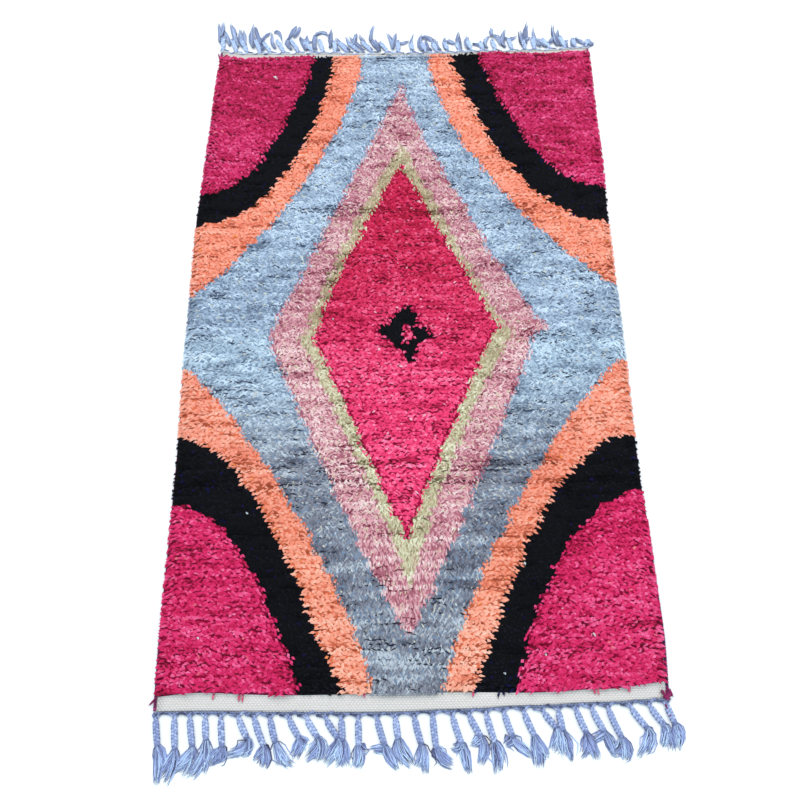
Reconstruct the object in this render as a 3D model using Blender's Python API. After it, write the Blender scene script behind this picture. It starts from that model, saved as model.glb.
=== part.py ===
"""A hand-knotted berber rug lying flat: woven ground, shag pile, overcast sides and braided fringes.

Metres, +Z up. The origin is on the underside at the middle of the rug, +X runs across its width
and +Y along its length, from the near end to the far end. Nothing reaches below z = 0.
"""
import math
from collections import namedtuple

import bmesh
import bpy
from mathutils import Vector, noise

# Driving dimensions
GAP = 0.0003                # left between pieces that touch
CLOTH_THICK = 0.004         # flat-woven ground
SELVEDGE_WIDE = 0.006       # cord of overcast yarn along each long side
SELVEDGE_HIGH = 0.0062
SELVEDGE_INSET = 0.0012     # the pile hangs this far past the cord
SELVEDGE_SHORT = 0.0012     # the cord stops this far short of the header
SELVEDGE_PINCH = 0.93       # every other section of the cord is this much thinner
# The cord's section, as shares of its width and height
SELVEDGE_SECTION = ((-0.30, 0.0), (0.30, 0.0), (0.50, 0.42), (0.26, 1.0), (-0.26, 1.0), (-0.50, 0.42))
SIDE_STEP = 0.04            # spacing of the points that cloth and cord share along a side
PILE_TOP = 0.0205           # mean height of the yarn ends above the floor
PILE_SHOULDER = 0.0125      # height at which the pile's side starts to bulge over the cord
PILE_FOOT_INSET = 0.0085    # foot of the pile, inside its outline
PILE_WAIST_INSET = 0.0055   # side of the pile at the shoulder, inside its outline
PILE_RIM_INSET = 0.0090     # upper edge of the side, inside its outline
LUMP_HIGH = 0.0030          # broad lumps of the pile, up and down
LUMP_WIDE = 0.085
CLUMP_HIGH = 0.0016         # smaller clumps between them
CLUMP_WIDE = 0.035
PILE_COLUMNS = 28           # faces across the pile's top
PILE_ROWS = 46              # faces along it
RIM_LOCK_WIDE = 0.014
RIM_LOCK_REACH = 0.0075     # how far a lock stands out of the side
RIM_LOCK_DROP = 0.0022      # how far its end hangs down
RIM_LOCK_TAPER = 0.55
RIM_LOCK_BORDER = 0.0012    # left of the side's face above and below a lock
RIM_LOCK_EVERY = 2          # one lock for this many faces of the rim

HEADER_WIDE = 0.005         # twined strip that holds the braids
HEADER_HIGH = 0.005
HEADER_MARGIN = 0.001       # from the header's end to the first braid
BRAIDS = 30                 # at each end
BRAID_WIDE = 0.009
BRAID_HIGH = 0.006
KNOT_WIDE = 0.0115
KNOT_HIGH = 0.0085
LOCK_WIDE = 0.0095          # two locks of loose yarn follow each knot
LOCK_HIGH = 0.0055
LOCK_TIP_WIDE = 0.0065
LOCK_TIP_HIGH = 0.0035
LOCK_SPREAD = 0.0067        # a lock's middle, off the tassel's line
LOCK_FLARE = 1.05           # how much further off it its tip is
LOCK_WAIST = 0.45           # share of the tassel's length at a lock's middle section
KNOT_SLOT = 0.0006          # half the slot between a knot's two locks
TIP_UNEVEN = 0.006          # every third tassel is this much shorter
# Share of a braid's lean and of its reach at its middle and at its neck
BRAID_MIDDLE = (0.42, 0.50)
BRAID_NECK = (0.90, 0.88)
NECK_WIDE = 0.0081

# The rug's own unevenness, read from its outline: the pile's long sides, then its two ends
Side = namedtuple("Side", "y left right")
SIDES = (
    Side(-0.840, -0.497, 0.494),
    Side(-0.700, -0.500, 0.500),
    Side(-0.550, -0.500, 0.498),
    Side(-0.370, -0.501, 0.493),
    Side(-0.050, -0.507, 0.494),
    Side(0.280, -0.511, 0.494),
    Side(0.420, -0.505, 0.497),
    Side(0.600, -0.499, 0.496),
    Side(0.830, -0.492, 0.498),
)
End = namedtuple("End", "x near_pile near_edge far_pile far_edge")
ENDS = (
    End(-0.500, -0.809, -0.836, 0.787, 0.828),
    End(-0.420, -0.800, -0.835, 0.774, 0.816),
    End(-0.240, -0.812, -0.838, 0.780, 0.815),
    End(-0.060, -0.815, -0.840, 0.779, 0.811),
    End(0.080, -0.812, -0.836, 0.776, 0.810),
    End(0.230, -0.809, -0.830, 0.782, 0.813),
    End(0.380, -0.803, -0.825, 0.779, 0.816),
    End(0.500, -0.788, -0.819, 0.791, 0.821),
)

# How the fringes lie: sideways lean of the braids, reach of the knots past the cloth's edge,
# then the sideways sweep of the tassels and the line that their tips reach
Lie = namedtuple("Lie", "x lean knot sweep tip")
NEAR_LIE = (
    Lie(-0.490, 0.000, 0.064, 0.004, -0.956),
    Lie(-0.400, 0.003, 0.062, -0.004, -0.945),
    Lie(-0.300, 0.012, 0.058, 0.004, -0.930),
    Lie(-0.150, 0.022, 0.058, 0.008, -0.930),
    Lie(0.000, 0.013, 0.060, 0.004, -0.941),
    Lie(0.150, 0.012, 0.062, 0.006, -0.943),
    Lie(0.300, 0.022, 0.060, 0.004, -0.931),
    Lie(0.420, 0.026, 0.058, 0.006, -0.928),
    Lie(0.500, 0.017, 0.056, 0.010, -0.908),
)
FAR_LIE = (
    Lie(-0.490, -0.010, 0.062, 0.006, 0.928),
    Lie(-0.400, -0.024, 0.056, -0.002, 0.908),
    Lie(-0.300, -0.030, 0.050, 0.004, 0.893),
    Lie(-0.150, -0.026, 0.050, -0.004, 0.898),
    Lie(0.000, -0.030, 0.048, -0.006, 0.890),
    Lie(0.150, -0.020, 0.048, 0.002, 0.886),
    Lie(0.300, -0.008, 0.050, 0.004, 0.888),
    Lie(0.420, -0.002, 0.056, -0.002, 0.914),
    Lie(0.500, 0.008, 0.046, 0.010, 0.880),
)

# Colour, roughness of each finish
FINISHES = {
    "ground_wool": ((0.74, 0.70, 0.58), 0.95),
    "pile_wool": ((0.62, 0.04, 0.14), 0.95),
    "selvedge_wool": ((0.33, 0.03, 0.16), 0.92),
    "fringe_wool": ((0.42, 0.45, 0.68), 0.92),
}


def clear_scene():
    for item in list(bpy.data.objects):
        bpy.data.objects.remove(item, do_unlink=True)


def make_material(name):
    colour, roughness = FINISHES[name]
    material = bpy.data.materials.new(name)
    material.use_nodes = True
    shader = material.node_tree.nodes["Principled BSDF"]
    shader.inputs["Base Color"].default_value = (*colour, 1.0)
    shader.inputs["Roughness"].default_value = roughness
    shader.inputs["Metallic"].default_value = 0.0
    material.diffuse_color = (*colour, 1.0)
    return material


def ease_between(table, position, column):
    """The column's value at a position, eased between the table's rows on either side."""
    first = table[0][0]
    last = table[-1][0]
    position = min(max(position, first), last)
    for before, after in zip(table, table[1:]):
        if position <= after[0]:
            share = (position - before[0]) / (after[0] - before[0])
            share = share * share * (3 - 2 * share)
            low = getattr(before, column)
            high = getattr(after, column)
            return low + (high - low) * share
    return getattr(table[-1], column)


def side_line(column):
    """Points (y, x) that the cloth's side and its cord share, so that their gap stays even."""
    first = math.floor(SIDES[0].y / SIDE_STEP)
    last = math.ceil(SIDES[-1].y / SIDE_STEP)
    places = [k * SIDE_STEP for k in range(first, last + 1)]
    return [(y, ease_between(SIDES, y, column)) for y in places]


def header_places(outward):
    """The middles of the braids at one end, and the places of the header's sections along x."""
    first = ease_between(SIDES, outward * SIDES[-1].y, "left") + SELVEDGE_INSET
    last = ease_between(SIDES, outward * SIDES[-1].y, "right") - SELVEDGE_INSET
    first_middle = first + HEADER_MARGIN + BRAID_WIDE / 2
    last_middle = last - HEADER_MARGIN - BRAID_WIDE / 2
    pitch = (last_middle - first_middle) / (BRAIDS - 1)
    middles = [first_middle + pitch * k for k in range(BRAIDS)]
    sections = [first]
    for middle in middles:
        sections += [middle - BRAID_WIDE / 2, middle + BRAID_WIDE / 2]
    sections.append(last)
    return middles, sections


def end_line(column, outward):
    """Points (x, y) that the cloth's end and its header share."""
    _, sections = header_places(outward)
    return [(x, ease_between(ENDS, x, column)) for x in sections]


def read_line(line, position):
    """The value at a position on straight stretches between a line's points."""
    for before, after in zip(line, line[1:]):
        if position <= after[0] or after is line[-1]:
            share = (position - before[0]) / (after[0] - before[0])
            return before[1] + (after[1] - before[1]) * share
    return line[-1][1]


def plan_point(across, along, near_column, far_column, inset):
    """A point of the rug's plan: across and along run from 0 to 1, inset in from the outline."""
    middle_y = (1 - along) * SIDES[0].y + along * SIDES[-1].y
    left = ease_between(SIDES, middle_y, "left") + inset
    right = ease_between(SIDES, middle_y, "right") - inset
    x = left + (right - left) * across
    near = ease_between(ENDS, x, near_column) + inset
    far = ease_between(ENDS, x, far_column) - inset
    return x, near + (far - near) * along


def rim_steps(columns, rows):
    """Across and along values of the grid's rim, counter-clockwise from the near left corner."""
    near = [(i / columns, 0.0) for i in range(columns)]
    right = [(1.0, j / rows) for j in range(rows)]
    far = [(1 - i / columns, 1.0) for i in range(columns)]
    left = [(0.0, 1 - j / rows) for j in range(rows)]
    return near + right + far + left


def finish_object(name, mesh_data, finish):
    bmesh.ops.recalc_face_normals(mesh_data, faces=mesh_data.faces)
    mesh = bpy.data.meshes.new(name)
    mesh_data.to_mesh(mesh)
    mesh_data.free()
    mesh.materials.append(make_material(finish))
    built = bpy.data.objects.new(name, mesh)
    bpy.context.scene.collection.objects.link(built)
    return built


def build_ground_cloth():
    """The flat-woven sheet, which shows as a cream band at both ends."""
    sheet = bmesh.new()
    inset = SELVEDGE_INSET + SELVEDGE_WIDE + GAP
    near_line = end_line("near_edge", -1)
    far_line = end_line("far_edge", 1)
    left_line = side_line("left")
    right_line = side_line("right")
    near_y = ENDS[0].near_edge
    far_y = ENDS[0].far_edge
    corners = {}
    for line, sign, side in ((left_line, 1, "left"), (right_line, -1, "right")):
        for end, y in ((near_line, near_y), (far_line, far_y)):
            x = read_line(line, y) + sign * inset
            corners[side, end is far_line] = (x, read_line(end, x))
    near_left, near_right = corners["left", False], corners["right", False]
    far_left, far_right = corners["left", True], corners["right", True]
    outline = [near_left]
    outline += [point for point in near_line if near_left[0] < point[0] < near_right[0]]
    outline.append(near_right)
    outline += [(x - inset, y) for y, x in right_line if near_right[1] < y < far_right[1]]
    outline.append(far_right)
    outline += [point for point in far_line[::-1] if far_left[0] < point[0] < far_right[0]]
    outline.append(far_left)
    outline += [(x + inset, y) for y, x in left_line[::-1] if near_left[1] < y < far_left[1]]
    outline = [sheet.verts.new((x, y, 0.0)) for x, y in outline]
    base = sheet.faces.new(outline)
    raised = bmesh.ops.extrude_face_region(sheet, geom=[base])
    top = [item for item in raised["geom"] if isinstance(item, bmesh.types.BMVert)]
    bmesh.ops.translate(sheet, verts=top, vec=(0.0, 0.0, CLOTH_THICK))
    return finish_object("ground_cloth", sheet, "ground_wool")


def pile_height(x, y):
    broad = noise.noise(Vector((x / LUMP_WIDE, y / LUMP_WIDE, 1.7)))
    fine = noise.noise(Vector((x / CLUMP_WIDE, y / CLUMP_WIDE, 5.3)))
    return PILE_TOP + LUMP_HIGH * broad + CLUMP_HIGH * fine


def build_pile():
    """The knotted pile as a lumpy slab whose side bulges over the cords, with locks at its rim."""
    slab = bmesh.new()
    grid = []
    for j in range(PILE_ROWS + 1):
        row = []
        for i in range(PILE_COLUMNS + 1):
            across = i / PILE_COLUMNS
            along = j / PILE_ROWS
            x, y = plan_point(across, along, "near_pile", "far_pile", PILE_RIM_INSET)
            on_rim = i in (0, PILE_COLUMNS) or j in (0, PILE_ROWS)
            drop = CLUMP_HIGH if on_rim else 0.0
            row.append(slab.verts.new((x, y, pile_height(x, y) - drop)))
        grid.append(row)
    for low, high in zip(grid, grid[1:]):
        for i in range(PILE_COLUMNS):
            slab.faces.new((low[i], low[i + 1], high[i + 1], high[i]))

    rim = grid[0][:-1] + [row[-1] for row in grid[:-1]] + grid[-1][:0:-1]
    rim += [row[0] for row in grid[:0:-1]]
    steps = rim_steps(PILE_COLUMNS, PILE_ROWS)
    cloth_top = CLOTH_THICK + GAP
    levels = (
        (PILE_SHOULDER, PILE_WAIST_INSET),
        (SELVEDGE_HIGH + 3 * GAP, PILE_FOOT_INSET),
        (cloth_top, PILE_FOOT_INSET),
    )
    lock_faces = []
    upper = rim
    for depth, (height, inset) in enumerate(levels):
        lower = []
        for across, along in steps:
            x, y = plan_point(across, along, "near_pile", "far_pile", inset)
            lower.append(slab.verts.new((x, y, height)))
        for k in range(len(steps)):
            after = (k + 1) % len(steps)
            side = slab.faces.new((lower[k], lower[after], upper[after], upper[k]))
            if depth == 0 and k % RIM_LOCK_EVERY == 0:
                lock_faces.append((k, side))
        upper = lower
    slab.faces.new(upper)
    bmesh.ops.recalc_face_normals(slab, faces=slab.faces)
    for k, side in lock_faces:
        add_rim_lock(slab, side, k)
    return finish_object("pile", slab, "pile_wool")


def add_rim_lock(slab, side, k):
    """One four-sided lock of yarn, drawn out of a face of the slab's side and tapered."""
    outward = side.normal.copy()
    outward.z = 0.0
    outward.normalize()
    tangent = Vector((-outward.y, outward.x, 0.0))
    bmesh.ops.inset_individual(slab, faces=[side], thickness=RIM_LOCK_BORDER)
    middle = side.calc_center_median()
    span = max(abs((vert.co - middle).dot(tangent)) for vert in side.verts)
    squeeze = min(1.0, RIM_LOCK_WIDE / 2 / span)
    for vert in side.verts:
        off = (vert.co - middle).dot(tangent)
        vert.co -= tangent * off * (1 - squeeze)
    tip = bmesh.ops.extrude_discrete_faces(slab, faces=[side])["faces"][0]
    reach = RIM_LOCK_REACH * (1.0 + 0.25 * math.sin(2.4 * k))
    lean = 0.35 * reach * math.sin(1.7 * k)
    for vert in tip.verts:
        off = vert.co - middle
        vert.co = middle + off * RIM_LOCK_TAPER + outward * reach + tangent * lean
        vert.co.z -= RIM_LOCK_DROP


def braid_section(mesh_data, x, y, heading, wide, high):
    """Four corners of a strand's section at right angles to its heading, resting on z = 0."""
    side = Vector((heading.y, -heading.x)).normalized() * (wide / 2)
    corners = ((-1, 0.0), (1, 0.0), (1, high), (-1, high))
    return [mesh_data.verts.new((x + sign * side.x, y + sign * side.y, z)) for sign, z in corners]


def bridge_sections(mesh_data, before, after):
    for i in range(4):
        j = (i + 1) % 4
        mesh_data.faces.new((before[i], before[j], after[j], after[i]))


def add_strand(mesh_data, root, root_at, knot_at, tip_at):
    """A braid from the header to its knot, then two flat locks of loose yarn to the tip."""
    run = knot_at - root_at
    bend = Vector((0.0, run.y)).normalized()
    heading = run.normalized()
    half_way = root_at + run * Vector(BRAID_MIDDLE)
    near_knot = root_at + run * Vector(BRAID_NECK)
    middle = braid_section(mesh_data, *half_way, (heading + bend) / 2, BRAID_WIDE, BRAID_HIGH)
    neck = braid_section(mesh_data, *near_knot, heading, NECK_WIDE, BRAID_HIGH)
    bridge_sections(mesh_data, root, middle)
    bridge_sections(mesh_data, middle, neck)

    sweep = (tip_at - knot_at).normalized()
    across = Vector((sweep.y, -sweep.x))
    offsets = (-KNOT_WIDE / 2, -KNOT_SLOT, KNOT_SLOT, KNOT_WIDE / 2)
    low = [mesh_data.verts.new((*(knot_at + across * off), 0.0)) for off in offsets]
    high = [mesh_data.verts.new((*(knot_at + across * off), KNOT_HIGH)) for off in offsets]
    for ends, row, flip in (((neck[0], neck[1]), low, True), ((neck[3], neck[2]), high, False)):
        start, stop = ends
        pieces = ((start, row[0], row[1]), (start, row[1], row[2], stop), (stop, row[2], row[3]))
        for piece in pieces:
            mesh_data.faces.new(piece[::-1] if flip else piece)
    mesh_data.faces.new((neck[0], neck[3], high[0], low[0]))
    mesh_data.faces.new((neck[2], neck[1], low[3], high[3]))
    mesh_data.faces.new((low[1], low[2], high[2], high[1]))

    reach = tip_at - knot_at
    for sign, near_side, far_side in ((-1, 0, 1), (1, 2, 3)):
        start = [low[near_side], low[far_side], high[far_side], high[near_side]]
        waist_at = knot_at + reach * LOCK_WAIST + across * sign * LOCK_SPREAD
        end_at = tip_at + across * sign * LOCK_SPREAD * LOCK_FLARE
        waist = braid_section(mesh_data, *waist_at, sweep, LOCK_WIDE, LOCK_HIGH)
        end = braid_section(mesh_data, *end_at, sweep, LOCK_TIP_WIDE, LOCK_TIP_HIGH)
        bridge_sections(mesh_data, start, waist)
        bridge_sections(mesh_data, waist, end)
        mesh_data.faces.new(end)


def build_fringe(name, edge_column, lie, outward):
    """The twined header along one end of the cloth, with its braids and their tassels."""
    fringe = bmesh.new()
    middles, sections = header_places(outward)
    columns = []
    for x in sections:
        edge = ease_between(ENDS, x, edge_column)
        inner = edge + outward * GAP
        outer = inner + outward * HEADER_WIDE
        section = ((inner, 0.0), (outer, 0.0), (outer, HEADER_HIGH), (inner, HEADER_HIGH))
        columns.append([fringe.verts.new((x, y, z)) for y, z in section])
    fringe.faces.new(columns[0])
    fringe.faces.new(columns[-1])
    outer_wall = 1
    for step, (before, after) in enumerate(zip(columns, columns[1:])):
        for i in range(4):
            j = (i + 1) % 4
            if i == outer_wall and step % 2 == 1:
                continue
            fringe.faces.new((before[i], before[j], after[j], after[i]))

    for k, middle in enumerate(middles):
        before = columns[1 + 2 * k]
        after = columns[2 + 2 * k]
        sides = (before, after) if outward > 0 else (after, before)
        root = [sides[0][1], sides[1][1], sides[1][2], sides[0][2]]
        edge = ease_between(ENDS, middle, edge_column) + outward * (GAP + HEADER_WIDE)
        lean = ease_between(lie, middle, "lean")
        knot_x = middle + lean
        knot_y = edge + outward * ease_between(lie, middle, "knot")
        tip_x = knot_x + ease_between(lie, middle, "sweep")
        shorter = TIP_UNEVEN if k % 3 == 1 else 0.0
        tip_y = ease_between(lie, middle, "tip") - outward * shorter
        places = (Vector((middle, edge)), Vector((knot_x, knot_y)), Vector((tip_x, tip_y)))
        add_strand(fringe, root, *places)
    return finish_object(name, fringe, "fringe_wool")


def build_selvedge(name, column, outward):
    """The cord of overcast yarn along one long side, flat where it lies on the floor."""
    cord = bmesh.new()
    line = side_line(column)
    inward = -outward * (SELVEDGE_INSET + SELVEDGE_WIDE / 2)
    near_y = read_line(end_line("near_edge", -1), line[0][1] + inward) + SELVEDGE_SHORT
    far_y = read_line(end_line("far_edge", 1), line[-1][1] + inward) - SELVEDGE_SHORT
    places = [near_y] + [y for y, _ in line if near_y < y < far_y] + [far_y]
    rings = []
    for k, y in enumerate(places):
        x = read_line(line, y) + inward
        swell = 1.0 if k % 2 else SELVEDGE_PINCH
        ring = []
        for off, high in SELVEDGE_SECTION:
            place = (x + off * SELVEDGE_WIDE * swell, y, high * SELVEDGE_HIGH * swell)
            ring.append(cord.verts.new(place))
        rings.append(ring)
    for before, after in zip(rings, rings[1:]):
        for i in range(len(ring)):
            j = (i + 1) % len(ring)
            cord.faces.new((before[i], before[j], after[j], after[i]))
    cord.faces.new(rings[0])
    cord.faces.new(rings[-1])
    return finish_object(name, cord, "selvedge_wool")


def main():
    clear_scene()
    build_ground_cloth()
    build_pile()
    build_selvedge("selvedge_left", "left", -1)
    build_selvedge("selvedge_right", "right", 1)
    build_fringe("fringe_near", "near_edge", NEAR_LIE, -1)
    build_fringe("fringe_far", "far_edge", FAR_LIE, 1)


main()
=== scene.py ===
# Berber rug: knotted wool pile on a woven ground, overcast sides and plaited fringes
import math

import bmesh
import bpy
import numpy as np
from mathutils import Matrix


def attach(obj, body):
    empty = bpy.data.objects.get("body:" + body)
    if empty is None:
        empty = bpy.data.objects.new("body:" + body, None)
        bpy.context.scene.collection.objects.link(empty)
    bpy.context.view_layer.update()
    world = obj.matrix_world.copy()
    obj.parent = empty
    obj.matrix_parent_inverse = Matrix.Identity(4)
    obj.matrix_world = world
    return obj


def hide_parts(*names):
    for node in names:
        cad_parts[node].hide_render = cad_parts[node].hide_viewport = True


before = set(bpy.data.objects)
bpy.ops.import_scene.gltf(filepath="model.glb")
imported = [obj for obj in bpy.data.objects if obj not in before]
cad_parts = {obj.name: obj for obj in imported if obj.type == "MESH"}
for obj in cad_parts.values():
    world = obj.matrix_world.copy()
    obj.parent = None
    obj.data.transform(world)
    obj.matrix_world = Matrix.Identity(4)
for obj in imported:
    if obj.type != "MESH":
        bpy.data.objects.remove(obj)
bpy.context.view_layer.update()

print("rug: frame loaded")

# Metres throughout. +X runs across the rug, +Y away from the viewer.
# Unevenness of the outline: the long sides by y, then the ends by x
sides = np.array([
    # y, left, right
    (-0.840, -0.497, 0.494),
    (-0.700, -0.500, 0.500),
    (-0.550, -0.500, 0.498),
    (-0.370, -0.501, 0.493),
    (-0.050, -0.507, 0.494),
    (0.280, -0.511, 0.494),
    (0.420, -0.505, 0.497),
    (0.600, -0.499, 0.496),
    (0.830, -0.492, 0.498),
])
ends = np.array([
    # x, near pile, near edge of the cloth, far pile, far edge of the cloth
    (-0.500, -0.813, -0.836, 0.790, 0.820),
    (-0.420, -0.806, -0.835, 0.780, 0.808),
    (-0.240, -0.812, -0.838, 0.785, 0.807),
    (-0.060, -0.811, -0.840, 0.781, 0.803),
    (0.080, -0.809, -0.836, 0.783, 0.802),
    (0.230, -0.811, -0.830, 0.790, 0.806),
    (0.380, -0.805, -0.825, 0.784, 0.808),
    (0.500, -0.793, -0.819, 0.792, 0.815),
])
left, right = 1, 2
nearPile, nearEdge, farPile, farEdge = 1, 2, 3, 4


def eased(table, column, at):
    # a column's value at a place, eased between the table's rows
    at = np.clip(at, table[0, 0], table[-1, 0])
    after = np.clip(np.searchsorted(table[:, 0], at), 1, len(table) - 1)
    before = after - 1
    share = (at - table[before, 0]) / (table[after, 0] - table[before, 0])
    share = share * share * (3 - 2 * share)
    return table[before, column] * (1 - share) + table[after, column] * share


def planPoint(across, along, nearColumn, farColumn, sideInset, nearInset, farInset):
    # across and along run from 0 to 1 between the insets from the outline
    y = (1 - along) * sides[0, 0] + along * sides[-1, 0]
    leftX = eased(sides, left, y) + sideInset
    rightX = eased(sides, right, y) - sideInset
    x = leftX + (rightX - leftX) * across
    nearY = eased(ends, nearColumn, x) + nearInset
    farY = eased(ends, farColumn, x) - farInset
    return x, nearY + (farY - nearY) * along


def softNoise(x, y, wide, deep, seed):
    # smooth random values from -1 to 1, in blobs that are wide by deep
    table = np.random.default_rng(seed).uniform(-1, 1, (256, 256))
    u, v = np.asarray(x) / wide, np.asarray(y) / deep
    i, j = np.floor(u).astype(int), np.floor(v).astype(int)
    s, t = u - i, v - j
    s, t = s * s * (3 - 2 * s), t * t * (3 - 2 * t)
    i, j, iNext, jNext = i % 256, j % 256, (i + 1) % 256, (j + 1) % 256
    low = table[i, j] * (1 - s) + table[iNext, j] * s
    high = table[i, jNext] * (1 - s) + table[iNext, jNext] * s
    return low * (1 - t) + high * t


def deselectAll():
    for item in bpy.context.selected_objects:
        item.select_set(False)


def linkObject(name, data):
    linked = bpy.data.objects.new(name, data)
    bpy.context.scene.collection.objects.link(linked)
    return linked


# Camera, floor and light
view = dict(
    place=(-0.0066, -0.8568, 1.6483),
    turn=0.885,              # degrees
    down=68.11,
    roll=-1.4525,
    lens=36.0,
    sensor=36.0,
)
studio = dict(
    floorColour=(0.99, 0.95, 0.94),
    skyColour=(0.70, 0.90, 1.0),
    skyStrength=0.98,
    lampPlace=(-0.5, 1.15, 3.3),
    lampSize=3.2,
    lampWatts=81.0,
    lampColour=(1.0, 0.955, 0.915),
    fillPlace=(2.2, 0.3, 1.9),
    fillSize=2.0,
    fillWatts=14.0,
)


def addStudio():
    lens = bpy.data.cameras.new("camera")
    lens.lens = view["lens"]
    lens.sensor_width = view["sensor"]
    camera = linkObject("camera", lens)
    turned = Matrix.Rotation(math.radians(view["turn"]), 4, "Z")
    tipped = Matrix.Rotation(math.radians(90 - view["down"]), 4, "X")
    rolled = Matrix.Rotation(math.radians(view["roll"]), 4, "Z")
    camera.matrix_world = Matrix.Translation(view["place"]) @ turned @ tipped @ rolled
    bpy.context.scene.camera = camera

    deselectAll()
    bpy.ops.mesh.primitive_plane_add(size=14, location=(0, 0, 0))
    floor = bpy.context.object
    floor.name = "floor"
    paper = bpy.data.materials.new("floorPaper")
    paper.use_nodes = True
    shader = paper.node_tree.nodes["Principled BSDF"]
    shader.inputs["Base Color"].default_value = (*studio["floorColour"], 1)
    shader.inputs["Roughness"].default_value = 0.9
    shader.inputs["Specular IOR Level"].default_value = 0.1
    floor.data.materials.append(paper)

    world = bpy.data.worlds.new("studioSky")
    world.use_nodes = True
    sky = world.node_tree.nodes["Background"]
    sky.inputs["Color"].default_value = (*studio["skyColour"], 1)
    sky.inputs["Strength"].default_value = studio["skyStrength"]
    bpy.context.scene.world = world

    for name in ("lamp", "fill"):
        lamp = bpy.data.lights.new(name + "Softbox", "AREA")
        lamp.shape = "SQUARE"
        lamp.size = studio[name + "Size"]
        lamp.energy = studio[name + "Watts"]
        lamp.color = studio["lampColour"]
        softbox = linkObject(name + "Softbox", lamp)
        softbox.location = studio[name + "Place"]
        towards = -softbox.location
        softbox.rotation_euler = towards.to_track_quat("-Z", "Y").to_euler()
    bpy.context.scene.view_settings.view_transform = "Standard"


addStudio()
print("rug: camera, floor and light")


# Wool finishes
def dye(red, green, blue):
    # a colour as seen on a screen, 0 to 255, for a shader
    shares = [channel / 255 for channel in (red, green, blue)]
    linear = [s / 12.92 if s <= 0.04045 else ((s + 0.055) / 1.055) ** 2.4 for s in shares]
    return (*linear, 1.0)


def addNode(tree, kind, inputs=None, **settings):
    # each input is a fixed value, or a link from another node
    node = tree.nodes.new(kind)
    for name, value in settings.items():
        setattr(node, name, value)
    for socket, value in (inputs or {}).items():
        if isinstance(value, (int, float, tuple)):
            node.inputs[socket].default_value = value
        else:
            tree.links.new(value, node.inputs[socket])
    return node


def addMath(tree, operation, first, second):
    return addNode(tree, "ShaderNodeMath", {0: first, 1: second}, operation=operation).outputs[0]


def addMix(tree, blend, factor, first, second):
    return addNode(tree, "ShaderNodeMix", {0: factor, 6: first, 7: second},
                   data_type="RGBA", blend_type=blend).outputs[2]


def addRange(tree, value, fromMin=0.0, fromMax=1.0, toMin=0.0, toMax=1.0, kind="LINEAR"):
    limits = {"Value": value, "From Min": fromMin, "From Max": fromMax, "To Min": toMin, "To Max": toMax}
    return addNode(tree, "ShaderNodeMapRange", limits, interpolation_type=kind).outputs[0]


def addNoise(tree, place, scale=1.0, detail=3.0):
    inputs = {"Vector": place, "Scale": scale, "Detail": detail}
    return addNode(tree, "ShaderNodeTexNoise", inputs).outputs[0]


def addGrey(tree, value):
    return addNode(tree, "ShaderNodeCombineXYZ", {0: value, 1: value, 2: value}).outputs[0]


def addRamp(tree, value, places, dyes):
    ramp = addNode(tree, "ShaderNodeValToRGB", {0: value})
    elements = ramp.color_ramp.elements
    while len(elements) < len(dyes):
        elements.new(0.5)
    for element, place, colour in zip(elements, places, dyes):
        element.position = place
        element.color = dye(*colour)
    return ramp.outputs[0]


def startFinish(name, shine):
    finish = bpy.data.materials.new(name)
    finish.use_nodes = True
    shader = finish.node_tree.nodes["Principled BSDF"]
    shader.inputs["Specular IOR Level"].default_value = shine
    return finish, finish.node_tree, shader


def joinFinish(tree, shader, colour, rough, height, strength, deep=0.0012):
    relief = addNode(tree, "ShaderNodeBump", {"Strength": strength, "Distance": deep, "Height": height})
    for socket, value in (("Base Color", colour), ("Roughness", rough), ("Normal", relief.outputs[0])):
        tree.links.new(value, shader.inputs[socket])


def makeFibreGroup():
    # streaks of fibre that run along a strand of yarn, and the shade at its root
    group = bpy.data.node_groups.new("woolFibre", "ShaderNodeTree")
    face = group.interface
    face.new_socket("Strand", in_out="INPUT", socket_type="NodeSocketVector")
    for name, value in (("Tone", 0.5), ("Around", 7.0), ("Along", 2.5), ("Streak", 0.3), ("Root", 0.35)):
        face.new_socket(name, in_out="INPUT", socket_type="NodeSocketFloat").default_value = value
    for name in ("Tone", "Shade", "Height", "Roughness"):
        face.new_socket(name, in_out="OUTPUT", socket_type="NodeSocketFloat")
    inward = group.nodes.new("NodeGroupInput").outputs
    outward = group.nodes.new("NodeGroupOutput").inputs
    apart = addNode(group, "ShaderNodeSeparateXYZ", {0: inward["Strand"]}).outputs
    joined = addNode(group, "ShaderNodeCombineXYZ", {
        0: addMath(group, "MULTIPLY", apart[0], inward["Around"]),
        1: addMath(group, "MULTIPLY", apart[1], inward["Along"]),
        2: addMath(group, "MULTIPLY", inward["Tone"], 37.0),
    })
    fibre = addNoise(group, joined.outputs[0])
    off = addMath(group, "MULTIPLY", addMath(group, "SUBTRACT", fibre, 0.5), inward["Streak"])
    results = {
        "Tone": addMath(group, "ADD", inward["Tone"], off),
        "Shade": addRange(group, apart[1], fromMax=0.62, toMin=inward["Root"], kind="SMOOTHSTEP"),
        "Height": fibre,
        "Roughness": addRange(group, fibre, toMin=0.98, toMax=0.78),
    }
    for name, value in results.items():
        group.links.new(value, outward[name])
    return group


fibreGroup = makeFibreGroup()
shadePlaces = (0.0, 0.3, 0.62, 1.0)      # tones at which the four shades of a wool stand


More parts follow.
